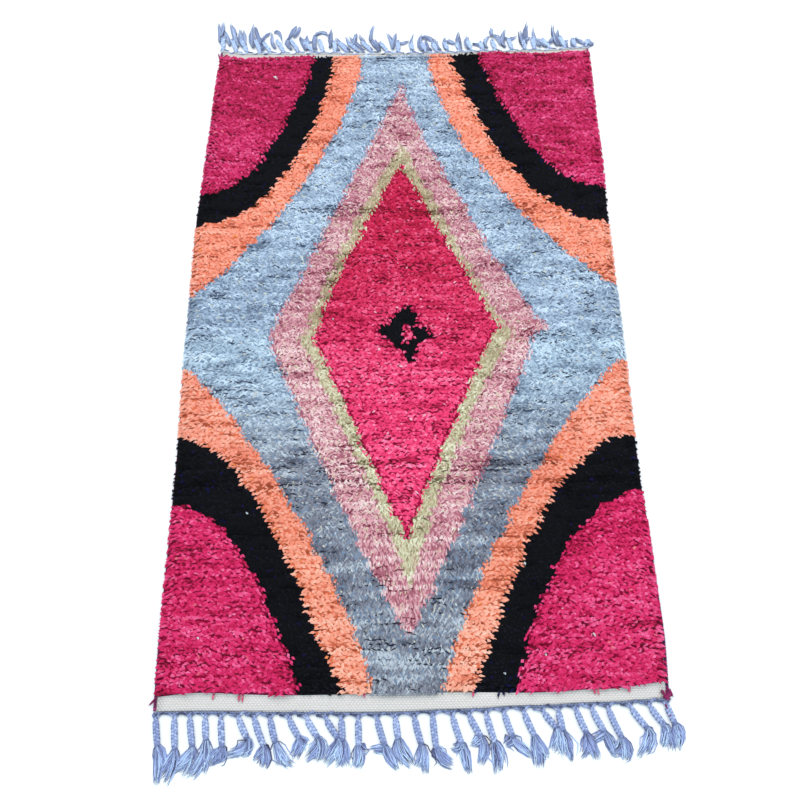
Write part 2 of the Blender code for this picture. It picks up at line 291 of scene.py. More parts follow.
def makeWool(name, shades, accent=(120, 110, 130), around=7.0, along=2.5, streak=0.3, root=0.85,
             towards=None, shine=0.25, sheen=0.15):
    # shades are four dyes from the darkest yarn to the palest; towards is a second set for the near end
    # accent is the dye of odd yarns, where a piece has any
    wool, tree, shader = startFinish(name, shine)
    shader.inputs["Sheen Weight"].default_value = sheen
    shader.inputs["Sheen Roughness"].default_value = 0.5
    fibre = addNode(tree, "ShaderNodeGroup", {
        "Strand": addNode(tree, "ShaderNodeUVMap", uv_map="strand").outputs[0],
        "Tone": addNode(tree, "ShaderNodeAttribute", attribute_name="tone").outputs["Fac"],
        "Around": around, "Along": along, "Streak": streak, "Root": root,
    }, node_tree=fibreGroup).outputs
    fleck = addNode(tree, "ShaderNodeAttribute", attribute_name="accent").outputs["Fac"]
    colour = addRamp(tree, fibre["Tone"], shadePlaces, shades)
    if towards is not None:
        place = addNode(tree, "ShaderNodeTexCoord").outputs["Object"]
        apart = addNode(tree, "ShaderNodeSeparateXYZ", {0: place}).outputs
        share = addRange(tree, apart[1], towards["start"], towards["full"], kind="SMOOTHSTEP")
        nearColour = addRamp(tree, fibre["Tone"], shadePlaces, towards["shades"])
        colour = addMix(tree, "MIX", share, colour, nearColour)
    colour = addMix(tree, "MIX", fleck, colour, dye(*accent))
    colour = addMix(tree, "MULTIPLY", 1.0, colour, addGrey(tree, fibre["Shade"]))
    joinFinish(tree, shader, colour, fibre["Roughness"], fibre["Height"], 0.4)
    return wool


# Strands: one is modelled, then copied along every path
def modelStrand(sideCount, cuts, pointed=True):
    # a round bar along +Z from 0 to 1, cut at the given places, its end drawn to a point
    deselectAll()
    bpy.ops.mesh.primitive_cylinder_add(vertices=sideCount, radius=1.0, depth=1.0, location=(0, 0, 0.5))
    bar = bpy.context.object
    bpy.ops.object.transform_apply(location=True, rotation=False, scale=False)
    bpy.ops.object.mode_set(mode="EDIT")
    for cut in cuts:
        bpy.ops.mesh.select_all(action="SELECT")
        bpy.ops.mesh.bisect(plane_co=(0, 0, cut), plane_no=(0, 0, 1))
    if pointed:
        bpy.ops.mesh.select_mode(type="VERT")
        bpy.ops.mesh.select_all(action="DESELECT")
        shape = bmesh.from_edit_mesh(bar.data)
        for vert in shape.verts:
            vert.select = vert.co.z > 0.999
        shape.select_flush(True)
        bpy.ops.mesh.merge(type="CENTER")
    bpy.ops.object.mode_set(mode="OBJECT")
    points = np.array([vert.co for vert in bar.data.vertices])
    places = np.unique(points[:, 2].round(5))
    faces = [list(face.vertices) for face in bar.data.polygons]
    angles = np.arctan2(points[:, 1], points[:, 0]) / (2 * math.pi) % 1.0
    wraps = []
    for face in faces:
        turns = [angles[corner] for corner in face]
        onSeam = max(turns) - min(turns) > 0.5
        for corner, turn in zip(face, turns):
            wraps.append((turn + 1.0 if onSeam and turn < 0.4 else turn, points[corner, 2]))
    bpy.data.objects.remove(bar, do_unlink=True)
    return dict(
        points=points,
        ring=np.searchsorted(places, points[:, 2].round(5)),
        places=places,
        faces=faces,
        wraps=np.array(wraps),
    )


def unit(vectors):
    return vectors / (np.linalg.norm(vectors, axis=-1, keepdims=True) + 1e-12)


def runOf(paths):
    # the direction of each strand at its rings
    return unit(np.gradient(paths, axis=1))


def acrossOf(run):
    # the level direction square to each run
    return np.stack([run[..., 1], -run[..., 0]], axis=2)


def bendPath(start, bend, tip, t):
    return start * (1 - t) ** 2 + 2 * bend * t * (1 - t) + tip * t ** 2


def layStrands(model, paths, wide, thick, tones, accents=None, sideways=None):
    # paths: (strands, rings, 3); wide and thick: half sizes at each ring; sideways: the width's direction
    count = len(paths)
    run = runOf(paths)
    if sideways is None:
        sideways = np.cross((0.0, 0.0, 1.0), run)
    else:
        sideways = np.broadcast_to(sideways[:, None, :], run.shape)
        sideways = sideways - run * (sideways * run).sum(axis=2, keepdims=True)
    sideways = unit(sideways)
    upward = np.cross(run, sideways)
    ring = model["ring"]
    offX = model["points"][:, 0][None, :, None] * np.broadcast_to(wide, paths.shape[:2])[:, ring, None]
    offY = model["points"][:, 1][None, :, None] * np.broadcast_to(thick, paths.shape[:2])[:, ring, None]
    points = paths[:, ring] + sideways[:, ring] * offX + upward[:, ring] * offY
    size = len(model["points"])
    corners = np.concatenate([np.array(face) for face in model["faces"]])
    sizes = np.array([len(face) for face in model["faces"]])
    shifts = (np.arange(count) * size)[:, None]
    if accents is None:
        accents = np.zeros(count)
    tones = np.asarray(tones)
    tones = tones[:, ring] if tones.ndim == 2 else np.repeat(tones[:, None], size, axis=1)
    return dict(
        points=points.reshape(-1, 3),
        corners=(corners[None, :] + shifts).ravel(),
        sizes=np.tile(sizes, count),
        wraps=np.tile(model["wraps"], (count, 1)),
        tones=tones.ravel(),
        accents=np.repeat(accents, size),
    )


def softenNormals(mesh, share):
    # fluffy yarn scatters light, so its shading leans towards the pile's upward surface
    normals = np.empty(len(mesh.vertices) * 3, np.float32)
    mesh.vertex_normals.foreach_get("vector", normals)
    normals = normals.reshape(-1, 3) * (1 - share)
    normals[:, 2] += share
    mesh.normals_split_custom_set_from_vertices(unit(normals).tolist())


def settlePiece(piece, finish, node):
    # every piece rides on the rug's one body and stands for a node of the solid part
    piece.data.materials.clear()
    piece.data.materials.append(finish)
    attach(piece, "root")
    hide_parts(node)
    print("rug:", piece.name, len(piece.data.loops) - 2 * len(piece.data.polygons), "triangles")
    return piece


def buildPiece(name, layers, finish, node, soften=0.0):
    # layers of strands joined into one mesh
    points = np.concatenate([layer["points"] for layer in layers])
    shift, corners = 0, []
    for layer in layers:
        corners.append(layer["corners"] + shift)
        shift += len(layer["points"])
    corners = np.concatenate(corners)
    sizes = np.concatenate([layer["sizes"] for layer in layers])
    starts = np.concatenate([[0], np.cumsum(sizes)[:-1]])
    mesh = bpy.data.meshes.new(name)
    mesh.vertices.add(len(points))
    mesh.vertices.foreach_set("co", points.astype(np.float32).ravel())
    mesh.loops.add(len(corners))
    mesh.loops.foreach_set("vertex_index", corners.astype(np.int32))
    mesh.polygons.add(len(sizes))
    mesh.polygons.foreach_set("loop_start", starts.astype(np.int32))
    mesh.polygons.foreach_set("use_smooth", np.ones(len(sizes), bool))
    strand = mesh.uv_layers.new(name="strand")
    wraps = np.concatenate([layer["wraps"] for layer in layers])
    strand.data.foreach_set("uv", wraps.astype(np.float32).ravel())
    for key in ("tone", "accent"):
        values = np.concatenate([layer[key + "s"] for layer in layers])
        held = mesh.attributes.new(key, "FLOAT", "POINT")
        held.data.foreach_set("value", values.astype(np.float32))
    mesh.update(calc_edges=True)
    if soften > 0:
        softenNormals(mesh, soften)
    return settlePiece(linkObject(name, mesh), finish, node)


def makeDyedMesh(name, points, faces, colours):
    # a smooth mesh with a colour for every corner
    mesh = bpy.data.meshes.new(name)
    mesh.from_pydata(points.tolist(), [], faces)
    mesh.polygons.foreach_set("use_smooth", np.ones(len(faces), bool))
    dyed = mesh.color_attributes.new("dyed", "FLOAT_COLOR", "CORNER")
    dyed.data.foreach_set("color", colours.astype(np.float32).ravel())
    mesh.update(calc_edges=True)
    return mesh


# The design, worked out for each knot
cornerFields = [
    # reach from the side, reach from the end, and their powers, for each colour's curve
    dict(sideX=-0.507, endY=0.782, inward=1, away=-1,
         raspberry=(0.272, 0.430, 2.35, 0.98), black=(0.329, 0.520, 2.25, 1.43),
         orange=(0.398, 0.720, 1.19, 1.55)),
    dict(sideX=0.495, endY=0.782, inward=-1, away=-1,
         raspberry=(0.295, 0.418, 2.35, 0.97), black=(0.378, 0.521, 2.34, 1.05),
         orange=(0.430, 0.700, 1.19, 1.64)),
    dict(sideX=0.497, endY=-0.808, inward=-1, away=1,
         raspberry=(0.288, 0.403, 1.82, 1.38), black=(0.379, 0.529, 2.08, 1.00),
         orange=(0.433, 0.721, 1.18, 1.34)),
    dict(sideX=-0.500, endY=-0.808, inward=1, away=1,
         raspberry=(0.287, 0.377, 2.18, 0.94), black=(0.374, 0.527, 2.00, 0.875),
         orange=(0.430, 0.699, 1.13, 1.30)),
]
diamonds = dict(
    middle=(-0.004, -0.028),
    # half width, half length and power: far left, near left, far right, near right
    rose=((0.306, 0.728, 0.99), (0.314, 0.670, 1.06), (0.330, 0.704, 0.89), (0.298, 0.672, 1.06)),
    cream=((0.226, 0.517, 1.14), (0.250, 0.553, 0.97), (0.235, 0.527, 0.96), (0.249, 0.588, 0.885)),
    raspberry=((0.205, 0.476, 1.09), (0.216, 0.482, 1.00), (0.217, 0.448, 1.0), (0.206, 0.482, 0.95)),
)
motif = dict(
    middleX=-0.001,
    middleY=-0.035,
    charted=0.10,            # knots within this of the middle aren't shifted
    topY=0.029,
    knotWide=0.0104,
    rowDeep=0.0101,
    middleColumn=6,
    rows=(
        "......##.....",
        ".....###.....",
        "....#####....",
        "...######....",
        "...######....",
        ".#####.####..",
        "######..####.",
        ".#####..#####",
        "...###.####..",
        "...######....",
        ".....####....",
        "......###....",
        "......##.....",
        "......###....",
    ),
)
raspberry, black, orange, blue, rose, cream = range(6)


def yarnAt(x, y):
    # which yarn is knotted at each place
    yarn = np.full(np.shape(x), blue)
    for name, code in (("orange", orange), ("black", black), ("raspberry", raspberry)):
        for corner in cornerFields:
            reachX, reachY, powerX, powerY = corner[name]
            a = np.clip((x - corner["sideX"]) * corner["inward"], 0, None) / reachX
            b = np.clip((y - corner["endY"]) * corner["away"], 0, None) / reachY
            yarn[a ** powerX + b ** powerY < 1] = code
    offX, offY = x - diamonds["middle"][0], y - diamonds["middle"][1]
    quarter = 2 * (offX > 0) + (offY < 0)
    for name, code in (("rose", rose), ("cream", cream), ("raspberry", raspberry)):
        halfWide, halfLong, power = np.moveaxis(np.array(diamonds[name])[quarter], -1, 0)
        yarn[(np.abs(offX) / halfWide) ** power + (np.abs(offY) / halfLong) ** power < 1] = code
    chart = np.array([[mark == "#" for mark in marks] for marks in motif["rows"]])
    column = np.round((x - motif["middleX"]) / motif["knotWide"]).astype(int) + motif["middleColumn"]
    line = np.round((motif["topY"] - y) / motif["rowDeep"]).astype(int)
    inside = (column >= 0) & (column < chart.shape[1]) & (line >= 0) & (line < chart.shape[0])
    hit = np.zeros(np.shape(x), bool)
    hit[inside] = chart[line[inside], column[inside]]
    yarn[hit] = black
    return yarn


# The woven ground: bare bands at both ends, the knots' backs on its underside
ground = dict(
    columns=47,
    bandRows=6,
    sideInset=0.0075,
    thick=0.0041,
    packed=0.0100,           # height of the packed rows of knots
    packedInset=0.0035,
    bandWave=0.0004,
    edgeDrop=0.0008,         # the cloth thins at its two ends
    sideHigh=0.0070,
    foot=0.0001,             # clearance from the floor
    backs={raspberry: (190, 40, 95), black: (28, 28, 36), orange: (225, 140, 110),
           blue: (150, 172, 198), rose: (196, 140, 154), cream: (206, 196, 160)},
    bare=(236, 224, 219),
    farShade=0.84,
    lift=0.15,               # the near band's paler part, close to the pile: painted light against the pile's shadow
    liftDeep=0.013,
    dotWide=0.0066,
    dotDeep=0.0044,
)


# The pile: every knot's yarn ends arch up and splay to both sides over a bed of packed roots
pile = dict(
    rows=167,
    knots=94,
    root=0.0105,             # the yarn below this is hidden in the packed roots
    bed=0.0150,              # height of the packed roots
    bedRim=0.0065,
    bedEdge=0.0030,          # how much lower the bed's outermost knots are
    bedWave=0.0006,
    bedWorn=0.0012,
    bedPast=(0.003, 0.002, 0.001),   # past the outer knots: at the sides, the near and the far end
    sideInset=0.0060,
    sideLow=0.0048,          # how much lower the pile is along its sides
    nearInset=0.0085,
    farInset=-0.0050,
    stray=0.0022,            # unevenness of the knots' places
    tooth=0.0050,            # sideways steps of the design from one pair of rows to the next
    rowShift=0.0015,         # and of each row
    rowWave=0.0020,
    overhang=0.0008,         # how far yarn may pass the outline
    hidden=0.75,             # shade of the yarn near its root
    tip=0.0125,              # the ends tuck in among the roots of the next row
    soften=0.65,
    furrows=((0.060, 0.0095, 3), (0.028, 0.0085, 4)),
    lost=0.25,               # share of the yarn missing where a furrow is deepest
    slitDeep=0.52,           # furrows deeper than this part, and dark slits of painted shadow show
    slitHalf=0.0016,
    slitThick=0.0009,
    slitHigh=0.0179,
    slitLong=(0.006, 0.016),
    slitStray=(0.0020, 0.0012),
    slitTilt=0.0035,
    slitNearer=0.0045,       # a slit lies this much nearer than its knot
    # worn or gapped rows: y, half depth, strength
    gaps=((0.296, 0.007, 1.0), (0.120, 0.006, 0.6), (-0.225, 0.008, 0.7), (-0.345, 0.009, 1.9),
          (-0.385, 0.008, 1.9), (-0.600, 0.006, 0.6), (-0.725, 0.008, 0.9)),
    combed=(-0.40, -0.55),   # from the first to the second y, the fine yarn turns lengthwise
    rootSpread=0.0024,       # how far a knot's outer ends root from its middle
    rootStray=(0.0010, 0.0020),
    highWave=0.0010,
    clumpRise=0.0006,
    uneven=0.0006,
    furrowed=0.0015,             # how much lower the yarn is where a furrow is deepest
    standing=0.035,          # depth of the far rows that stand up and lean outward
    nearPass=0.0015,         # how far yarn may pass the near edge
    rimWide=0.006,           # the sides stay low for this width, then rise over the next
    rimSlope=0.014,
    waveHigh=0.0008,
)
lock = modelStrand(3, (0.52,))
yarns = {
    # ends: yarn ends of a knot; high: top of the pile; reach: how far they bend over; splay: to the sides
    # across: share of the reach kept where an end crosses into another colour, or into the black
    raspberry: dict(ends=4, half=0.0032, high=0.0180, reach=0.0180, splay=1.24, spread=0.24, ripple=0.14,
                    clump=(0.0220, 0.0100), pull=0.25, across=(0.40, 0.55), vary=0.12, flecks=0.004),
    black: dict(ends=2, half=0.0038, high=0.0162, reach=0.0125, splay=1.15, spread=0.5, ripple=0.16,
                clump=(0.014, 0.012), pull=0.30, across=(0.4, 1.0), vary=0.12, flecks=0.05),
    orange: dict(ends=4, half=0.0031, high=0.0178, reach=0.0172, splay=1.20, spread=0.28, ripple=0.16,
                 clump=(0.0190, 0.0100), pull=0.28, across=(0.25, 1.0), vary=0.09, flecks=0.008),
    blue: dict(ends=6, half=0.0021, high=0.0175, reach=0.0220, splay=1.16, spread=0.50, ripple=0.30,
               clump=(0.026, 0.0105), pull=0.28, across=(0.50, 0.5), vary=0.15, flecks=0.03, combed=0.5),
    rose: dict(ends=6, half=0.0021, high=0.0177, reach=0.0205, splay=1.05, spread=0.60, ripple=0.28,
               clump=(0.024, 0.0105), pull=0.28, across=(0.45, 0.5), vary=0.17, flecks=0.07, combed=0.75),
    cream: dict(ends=6, half=0.0022, high=0.0177, reach=0.0185, splay=0.95, spread=0.65, ripple=0.24,
                clump=(0.022, 0.0110), pull=0.28, across=(0.45, 0.5), vary=0.12, flecks=0.04, combed=0.8),
}


def placeKnots():
    rng = np.random.default_rng(21)
    rows, knots = pile["rows"], pile["knots"]
    row, knot = np.meshgrid(np.arange(rows), np.arange(knots), indexing="ij")
    brick = 0.5 + 0.22 * np.where(row % 2, 1, -1)
    x, y = planPoint((knot + brick) / knots, (row + 0.5) / rows, nearPile, farPile,
                     pile["sideInset"], pile["nearInset"], pile["farInset"])
    y = y + pile["rowWave"] * softNoise(x, y, 0.16, 0.05, 7)
    step = rng.uniform(-1, 1, rows // 2 + 1)[row // 2] * pile["tooth"]
    step = step * (0.6 + 0.4 * softNoise(x, y, 0.1, 0.02, 8))
    step = step + rng.uniform(-1, 1, rows)[row] * pile["rowShift"]
    yarn = yarnAt(x + step, y)
    # the motif keeps to its chart
    near = np.hypot(x - motif["middleX"], y - motif["middleY"]) < motif["charted"]
    yarn[near] = yarnAt(x, y)[near]
    x = x + rng.uniform(-1, 1, x.shape) * pile["stray"]
    y = y + rng.uniform(-1, 1, x.shape) * pile["stray"] * 0.6
    return x, y, yarn


def furrowDepth(x, y):
    # 0 on the pile's rolls, 1 down in the furrows between them, and more in a worn row
    depth = np.zeros(np.shape(x))
    for wide, deep, seed in pile["furrows"]:
        depth = np.maximum(depth, np.clip((softNoise(x, y, wide, deep, seed) - 0.42) / 0.4, 0, 1))
    for middle, half, strength in pile["gaps"]:
        wave = middle + 0.006 * softNoise(x, y, 0.07, 1.0, 9)
        band = np.clip(1.3 - np.abs(y - wave) / half, 0, 1)
        patchy = np.clip(0.55 + 0.9 * softNoise(x, y, 0.05, 0.02, 10), 0, 1)
        depth = np.maximum(depth, band * patchy * strength)
    return depth


def sideDrop(x, y):
    # 1 at the rug's sides, 0 further in
    inside = np.minimum(x - eased(sides, left, y), eased(sides, right, y) - x)
    return np.clip(1 - (inside - pile["rimWide"]) / pile["rimSlope"], 0, 1)


def layPile(x, y, code):
    # yarn ends of one colour, as strands of the modelled lock
    settings = yarns[code]
    rng = np.random.default_rng(100 + code)
    knotX, knotY = x, y
    copies = settings["ends"]
    x, y = np.repeat(x, copies), np.repeat(y, copies)
    which = np.tile(np.linspace(-1, 1, copies), len(knotX))
    kept = rng.uniform(0, 1, len(x)) > pile["lost"] * furrowDepth(x, y)
    x, y, which, count = x[kept], y[kept], which[kept], int(kept.sum())
    rootX = x + which * pile["rootSpread"] + rng.normal(0, pile["rootStray"][0], count)
    rootY = y + rng.normal(0, pile["rootStray"][1], count)

    swing = np.sign(which) * settings["splay"] * (0.80 + 0.20 * np.abs(which))
    swing = swing + rng.normal(0, 1, count) * 0.5 * settings["spread"]
    swing = swing + 0.30 * softNoise(x, y, 0.14, 0.10, 12)
    if "combed" in settings:
        start, full = pile["combed"]
        swing = swing * (1 - settings["combed"] * np.clip((y - start) / (full - start), 0, 1))
    reach = settings["reach"] * rng.uniform(0.70, 1.25, count)
    # the last rows at the far end stand up and lean outward
    toFar = np.clip((eased(ends, farPile, x) - y) / pile["standing"], -0.3, 1)
    tipX = rootX + np.sin(swing) * reach
    tipY = rootY - np.cos(swing) * reach * toFar

    # neighbouring ends cling together in clumps
    clumpWide, clumpDeep = settings["clump"]
    line = np.floor(tipY / clumpDeep).astype(int)
    jitter = np.random.default_rng(31).uniform(-1, 1, (4, 512, 512))
    shifted = tipX + clumpWide * (0.5 * (line % 2) + 0.3 * jitter[0, line % 512, 0])
    place = np.floor(shifted / clumpWide).astype(int)
    spot = (line % 512, place % 512)
    middleX = (place + 0.5) * clumpWide - (shifted - tipX) + 0.22 * clumpWide * jitter[1][spot]
    middleY = (line + 0.5) * clumpDeep + 0.22 * clumpDeep * jitter[2][spot]
    pull = settings["pull"] * rng.uniform(0.6, 1.1, count)
    tipX = tipX + (middleX - tipX) * pull
    tipY = tipY + (middleY - tipY) * pull

    # ends that would lie over another colour are shorter
    under = yarnAt(tipX, tipY)
    overOther, overBlack = settings["across"]
    share = np.where(under == code, 1.0, np.where(under == black, overBlack, overOther))
    tipX = rootX + (tipX - rootX) * share
    tipX = np.maximum(tipX, eased(sides, left, tipY) - pile["overhang"])
    tipX = np.minimum(tipX, eased(sides, right, tipY) + pile["overhang"])
    tipY = np.maximum(tipY, eased(ends, nearPile, tipX) - pile["nearPass"])

    depth = furrowDepth(tipX, tipY)
    low = sideDrop(rootX, rootY) * pile["sideLow"]
    high = settings["high"] + pile["highWave"] * softNoise(x, y, 0.09, 0.07, 13)
    high = high + pile["clumpRise"] * jitter[3][spot]
    high = high + rng.normal(0, pile["uneven"], count) - pile["furrowed"] * depth - low

    root = np.stack([rootX, rootY, pile["root"] - low], axis=1)
    tip = np.stack([tipX, tipY, pile["tip"] - low], axis=1)
    bend = np.stack([
        rootX + (tipX - rootX) * 0.30,
        rootY + (tipY - rootY) * 0.30,
        high * 2 - 0.5 * (root[:, 2] + tip[:, 2]),
    ], axis=1)
    t = lock["places"][None, :, None]
    paths = bendPath(root[:, None], bend[:, None], tip[:, None], t)
    half = settings["half"] * rng.uniform(0.75, 1.25, count)[:, None]
    wide = half * np.array((0.7, 1.0, 0.0))
    across = np.stack([np.cos(swing), np.sin(swing), np.zeros(count)], axis=1)

    tones = 0.60 + settings["ripple"] * softNoise(x, y, 0.050, 0.010, 14)
    tones = tones + 0.10 * softNoise(x, y, 0.2, 0.12, 15)
    # the yarn is painted darker where a furrow is deep: painted shade
    tones = tones + 0.07 * jitter[0][spot] + rng.normal(0, settings["vary"], count) - 0.22 * depth
    accents = (rng.uniform(0, 1, count) < settings["flecks"]).astype(float) * rng.uniform(0.4, 1.0, count)
    strands = layStrands(lock, paths, wide, wide * 0.7, np.clip(tones, 0.16, 1), accents, across)

    # dark slits where two rows part: thin dark strands laid on the pile as painted shadow of the gap between
    # the rows
    gap = furrowDepth(knotX, knotY) > pile["slitDeep"]
    knotX, knotY, count = knotX[gap], knotY[gap], int(gap.sum())
    t = lock["places"][None, :]
    length = rng.uniform(*pile["slitLong"], count)[:, None]
    slitX = knotX[:, None] + rng.normal(0, pile["slitStray"][0], (count, 1)) + (t - 0.5) * length
    slitY = knotY[:, None] - pile["slitNearer"] + rng.normal(0, pile["slitStray"][1], (count, 1))
    slitY = slitY + rng.normal(0, pile["slitTilt"], (count, 1)) * (t - 0.5)
    slitZ = pile["slitHigh"] - sideDrop(slitX, slitY) * pile["sideLow"]
    wide = pile["slitHalf"] * rng.uniform(0.6, 1.5, (count, 1)) * np.array((0.3, 1.0, 0.0))
    slitPaths = np.stack([slitX, slitY, slitZ], axis=2)
    slits = layStrands(lock, slitPaths, wide, pile["slitThick"], np.zeros(count))
    return [strands, slits]


woolFinishes = {
    # shades: the shadow in a slit, then dark, middling and pale yarn
    raspberry: dict(name="raspberryWool", shades=((90, 0, 22), (158, 6, 56), (200, 32, 92), (238, 98, 150)),
                    accent=(236, 120, 130), streak=0.5,
                    towards=dict(start=0.60, full=-0.10,
                                 shades=((104, 0, 26), (184, 8, 68), (224, 38, 102), (250, 114, 164)))),
    black: dict(name="blackWool", shades=((9, 9, 12), (14, 14, 17), (18, 18, 22), (26, 26, 36)),
                accent=(18, 18, 60), shine=0.08, sheen=0.0),
    orange: dict(name="orangeWool",
                 shades=((170, 66, 36), (226, 118, 92), (244, 152, 128), (254, 190, 168)),
                 accent=(240, 130, 40), streak=0.4,
                 towards=dict(start=-0.30, full=-0.65,
                              shades=((176, 72, 42), (236, 132, 104), (252, 166, 140), (255, 204, 182)))),
    blue: dict(name="blueWool", shades=((40, 48, 76), (138, 152, 174), (170, 185, 206), (212, 226, 243)),
               accent=(206, 206, 186), around=5.0, streak=0.5),
    rose: dict(name="roseWool", shades=((110, 20, 48), (178, 100, 118), (208, 148, 158), (240, 208, 206)),
               accent=(214, 200, 170), around=5.0, streak=0.5,
               towards=dict(start=0.35, full=-0.30,
                            shades=((120, 26, 54), (202, 126, 140), (226, 170, 176), (248, 222, 218)))),
    cream: dict(name="creamWool", shades=((90, 66, 42), (156, 134, 104), (194, 176, 144), (230, 220, 194)),
                accent=(190, 130, 130), around=5.0, streak=0.45,
                towards=dict(start=0.20, full=-0.35,
                             shades=((100, 80, 50), (186, 172, 138), (214, 204, 170), (240, 234, 210)))),
}
middleRaspberry = dict(name="raspberryMiddleWool",
                       shades=((96, 0, 14), (164, 4, 46), (208, 28, 78), (240, 98, 140)),
                       accent=(240, 176, 192), streak=0.5,
                       towards=dict(start=0.25, full=-0.30,
                                    shades=((112, 2, 28), (204, 30, 82), (246, 66, 120), (255, 142, 180))))
nearBlue = dict(name="nearBlueWool",
                shades=((36, 42, 66), (140, 156, 176), (174, 192, 211), (214, 229, 243)),
                accent=(206, 200, 190), around=5.0, streak=0.5,
                towards=dict(start=-0.10, full=-0.38,
                             shades=((26, 24, 40), (104, 103, 117), (142, 143, 155), (198, 203, 212))))
# the roots' yarn colours, painted darker than the pile's yarn: painted shade deep in the pile
shadedRootDyes = {raspberry: (150, 12, 56), black: (12, 12, 16), orange: (226, 112, 78), blue: (130, 148, 174),
            rose: (176, 106, 122), cream: (180, 164, 128)}


def makeRootFinish():
    # packed roots: dyed knot by knot in colours darkened with painted shade, with short streaks of fibre
    # across the rug
    roots, tree, shader = startFinish("packedRoots", 0.1)
    dyed = addNode(tree, "ShaderNodeAttribute", attribute_name="dyed").outputs["Color"]
    place = addNode(tree, "ShaderNodeTexCoord").outputs["Object"]
    stretched = addNode(tree, "ShaderNodeMapping", {"Vector": place, "Scale": (130, 420, 420)}).outputs[0]
    fibre = addNoise(tree, stretched)
    shade = addRange(tree, fibre, 0.3, 0.7, 0.72, 1.0)
    colour = addMix(tree, "MULTIPLY", 1.0, dyed, addGrey(tree, shade))
    joinFinish(tree, shader, colour, addRange(tree, fibre, toMin=1.0, toMax=0.85), fibre, 0.5)
    return roots


def addRoots(yarn):
    # one cell of the bed under every knot
    rows, knots = pile["rows"], pile["knots"]
    across = np.arange(knots + 1) / knots
    along = np.arange(rows + 1) / rows
    sidePast, nearPast, farPast = pile["bedPast"]
    x, y = planPoint(across[None, :], along[:, None], nearPile, farPile, pile["sideInset"] - sidePast,
                     pile["nearInset"] - nearPast, pile["farInset"] - farPast)
    row, knot = np.meshgrid(np.arange(rows + 1), np.arange(knots + 1), indexing="ij")
    atRim = np.minimum(np.minimum(knot, knots - knot), np.minimum(row, rows - row))
    high = pile["bed"] + pile["bedWave"] * softNoise(x, y, 0.016, 0.010, 44)
    high = high + pile["waveHigh"] * softNoise(x, y, 0.09, 0.07, 13)
    high = high - pile["bedWorn"] * furrowDepth(x, y) - sideDrop(x, y) * pile["sideLow"]
    high = np.where(atRim == 1, np.minimum(high, pile["bed"] - pile["bedEdge"]), high)
    high = np.where(atRim == 0, pile["bedRim"], high)
    top = np.stack([x, y, high], axis=2)
    number = np.arange(x.size).reshape(x.shape)
    faces = np.stack([number[:-1, :-1], number[:-1, 1:], number[1:, 1:], number[1:, :-1]], axis=2)
    faces = faces.reshape(-1, 4).tolist()
    rim = list(number[0, :-1]) + list(number[:-1, -1]) + list(number[-1, :0:-1]) + list(number[:0:-1, 0])
    under = np.arange(len(rim)) + x.size
    walls = [(int(rim[k - 1]), int(under[k - 1]), int(under[k]), int(rim[k])) for k in range(len(rim))]
    points = top.reshape(-1, 3)
    foot = points[rim].copy()
    foot[:, 2] = ground["thick"] + 0.0002
    dyes = np.array([dye(*shadedRootDyes[code]) for code in range(6)])
    cells = dyes[yarn.ravel()]
    # the bed's cells are painted darker in the furrows: painted shade
    furrowed = furrowDepth((x[:-1, :-1] + x[1:, 1:]).ravel() / 2, (y[:-1, :-1] + y[1:, 1:]).ravel() / 2)
    cells[:, :3] *= 1 - 0.45 * furrowed[:, None]
    cells = np.repeat(cells, 4, axis=0)
    others = np.repeat(dyes[[raspberry]], 4 * len(walls) + len(under), axis=0)
    mesh = makeDyedMesh("pileRoots", np.concatenate([points, foot]), faces + walls + [under[::-1].tolist()],
                        np.concatenate([cells, others]))
    # its knots have all six colours, so it has no slot
    settlePiece(linkObject("pileRoots", mesh), makeRootFinish(), "pile")


def addPile():
    x, y, yarn = placeKnots()
    addRoots(yarn)
    wools = {code: makeWool(root=pile["hidden"], **settings) for code, settings in woolFinishes.items()}
    special = {name: makeWool(root=pile["hidden"], **settings)
               for name, settings in (("pileRaspberryMiddle", middleRaspberry), ("pileBlueNear", nearBlue))}
    inDiamond = (np.abs(x) < 0.27) & (np.abs(y + 0.03) < 0.55)
    parts = (
        ("pileRaspberryFar", raspberry, (y > 0) & ~inDiamond, "pile_raspberry"),
        ("pileRaspberryNear", raspberry, (y <= 0) & ~inDiamond, "pile_raspberry"),
        ("pileRaspberryMiddle", raspberry, inDiamond, "pile_raspberry"),
        ("pileBlack", black, y < 9, "pile_black"),
        ("pileOrange", orange, y < 9, "pile_orange"),
        ("pileBlueFar", blue, y > -0.03, "pile_blue"),
        ("pileBlueNear", blue, y <= -0.03, "pile_blue"),
        ("pileRose", rose, y < 9, "pile_rose"),
        ("pileCream", cream, y < 9, "pile_cream"),
    )
    for name, code, where, slotName in parts:
        chosen = where & (yarn == code)
        layers = layPile(x[chosen], y[chosen], code)
        buildPiece(name, layers, special.get(name, wools[code]), "pile", pile["soften"])


addPile()


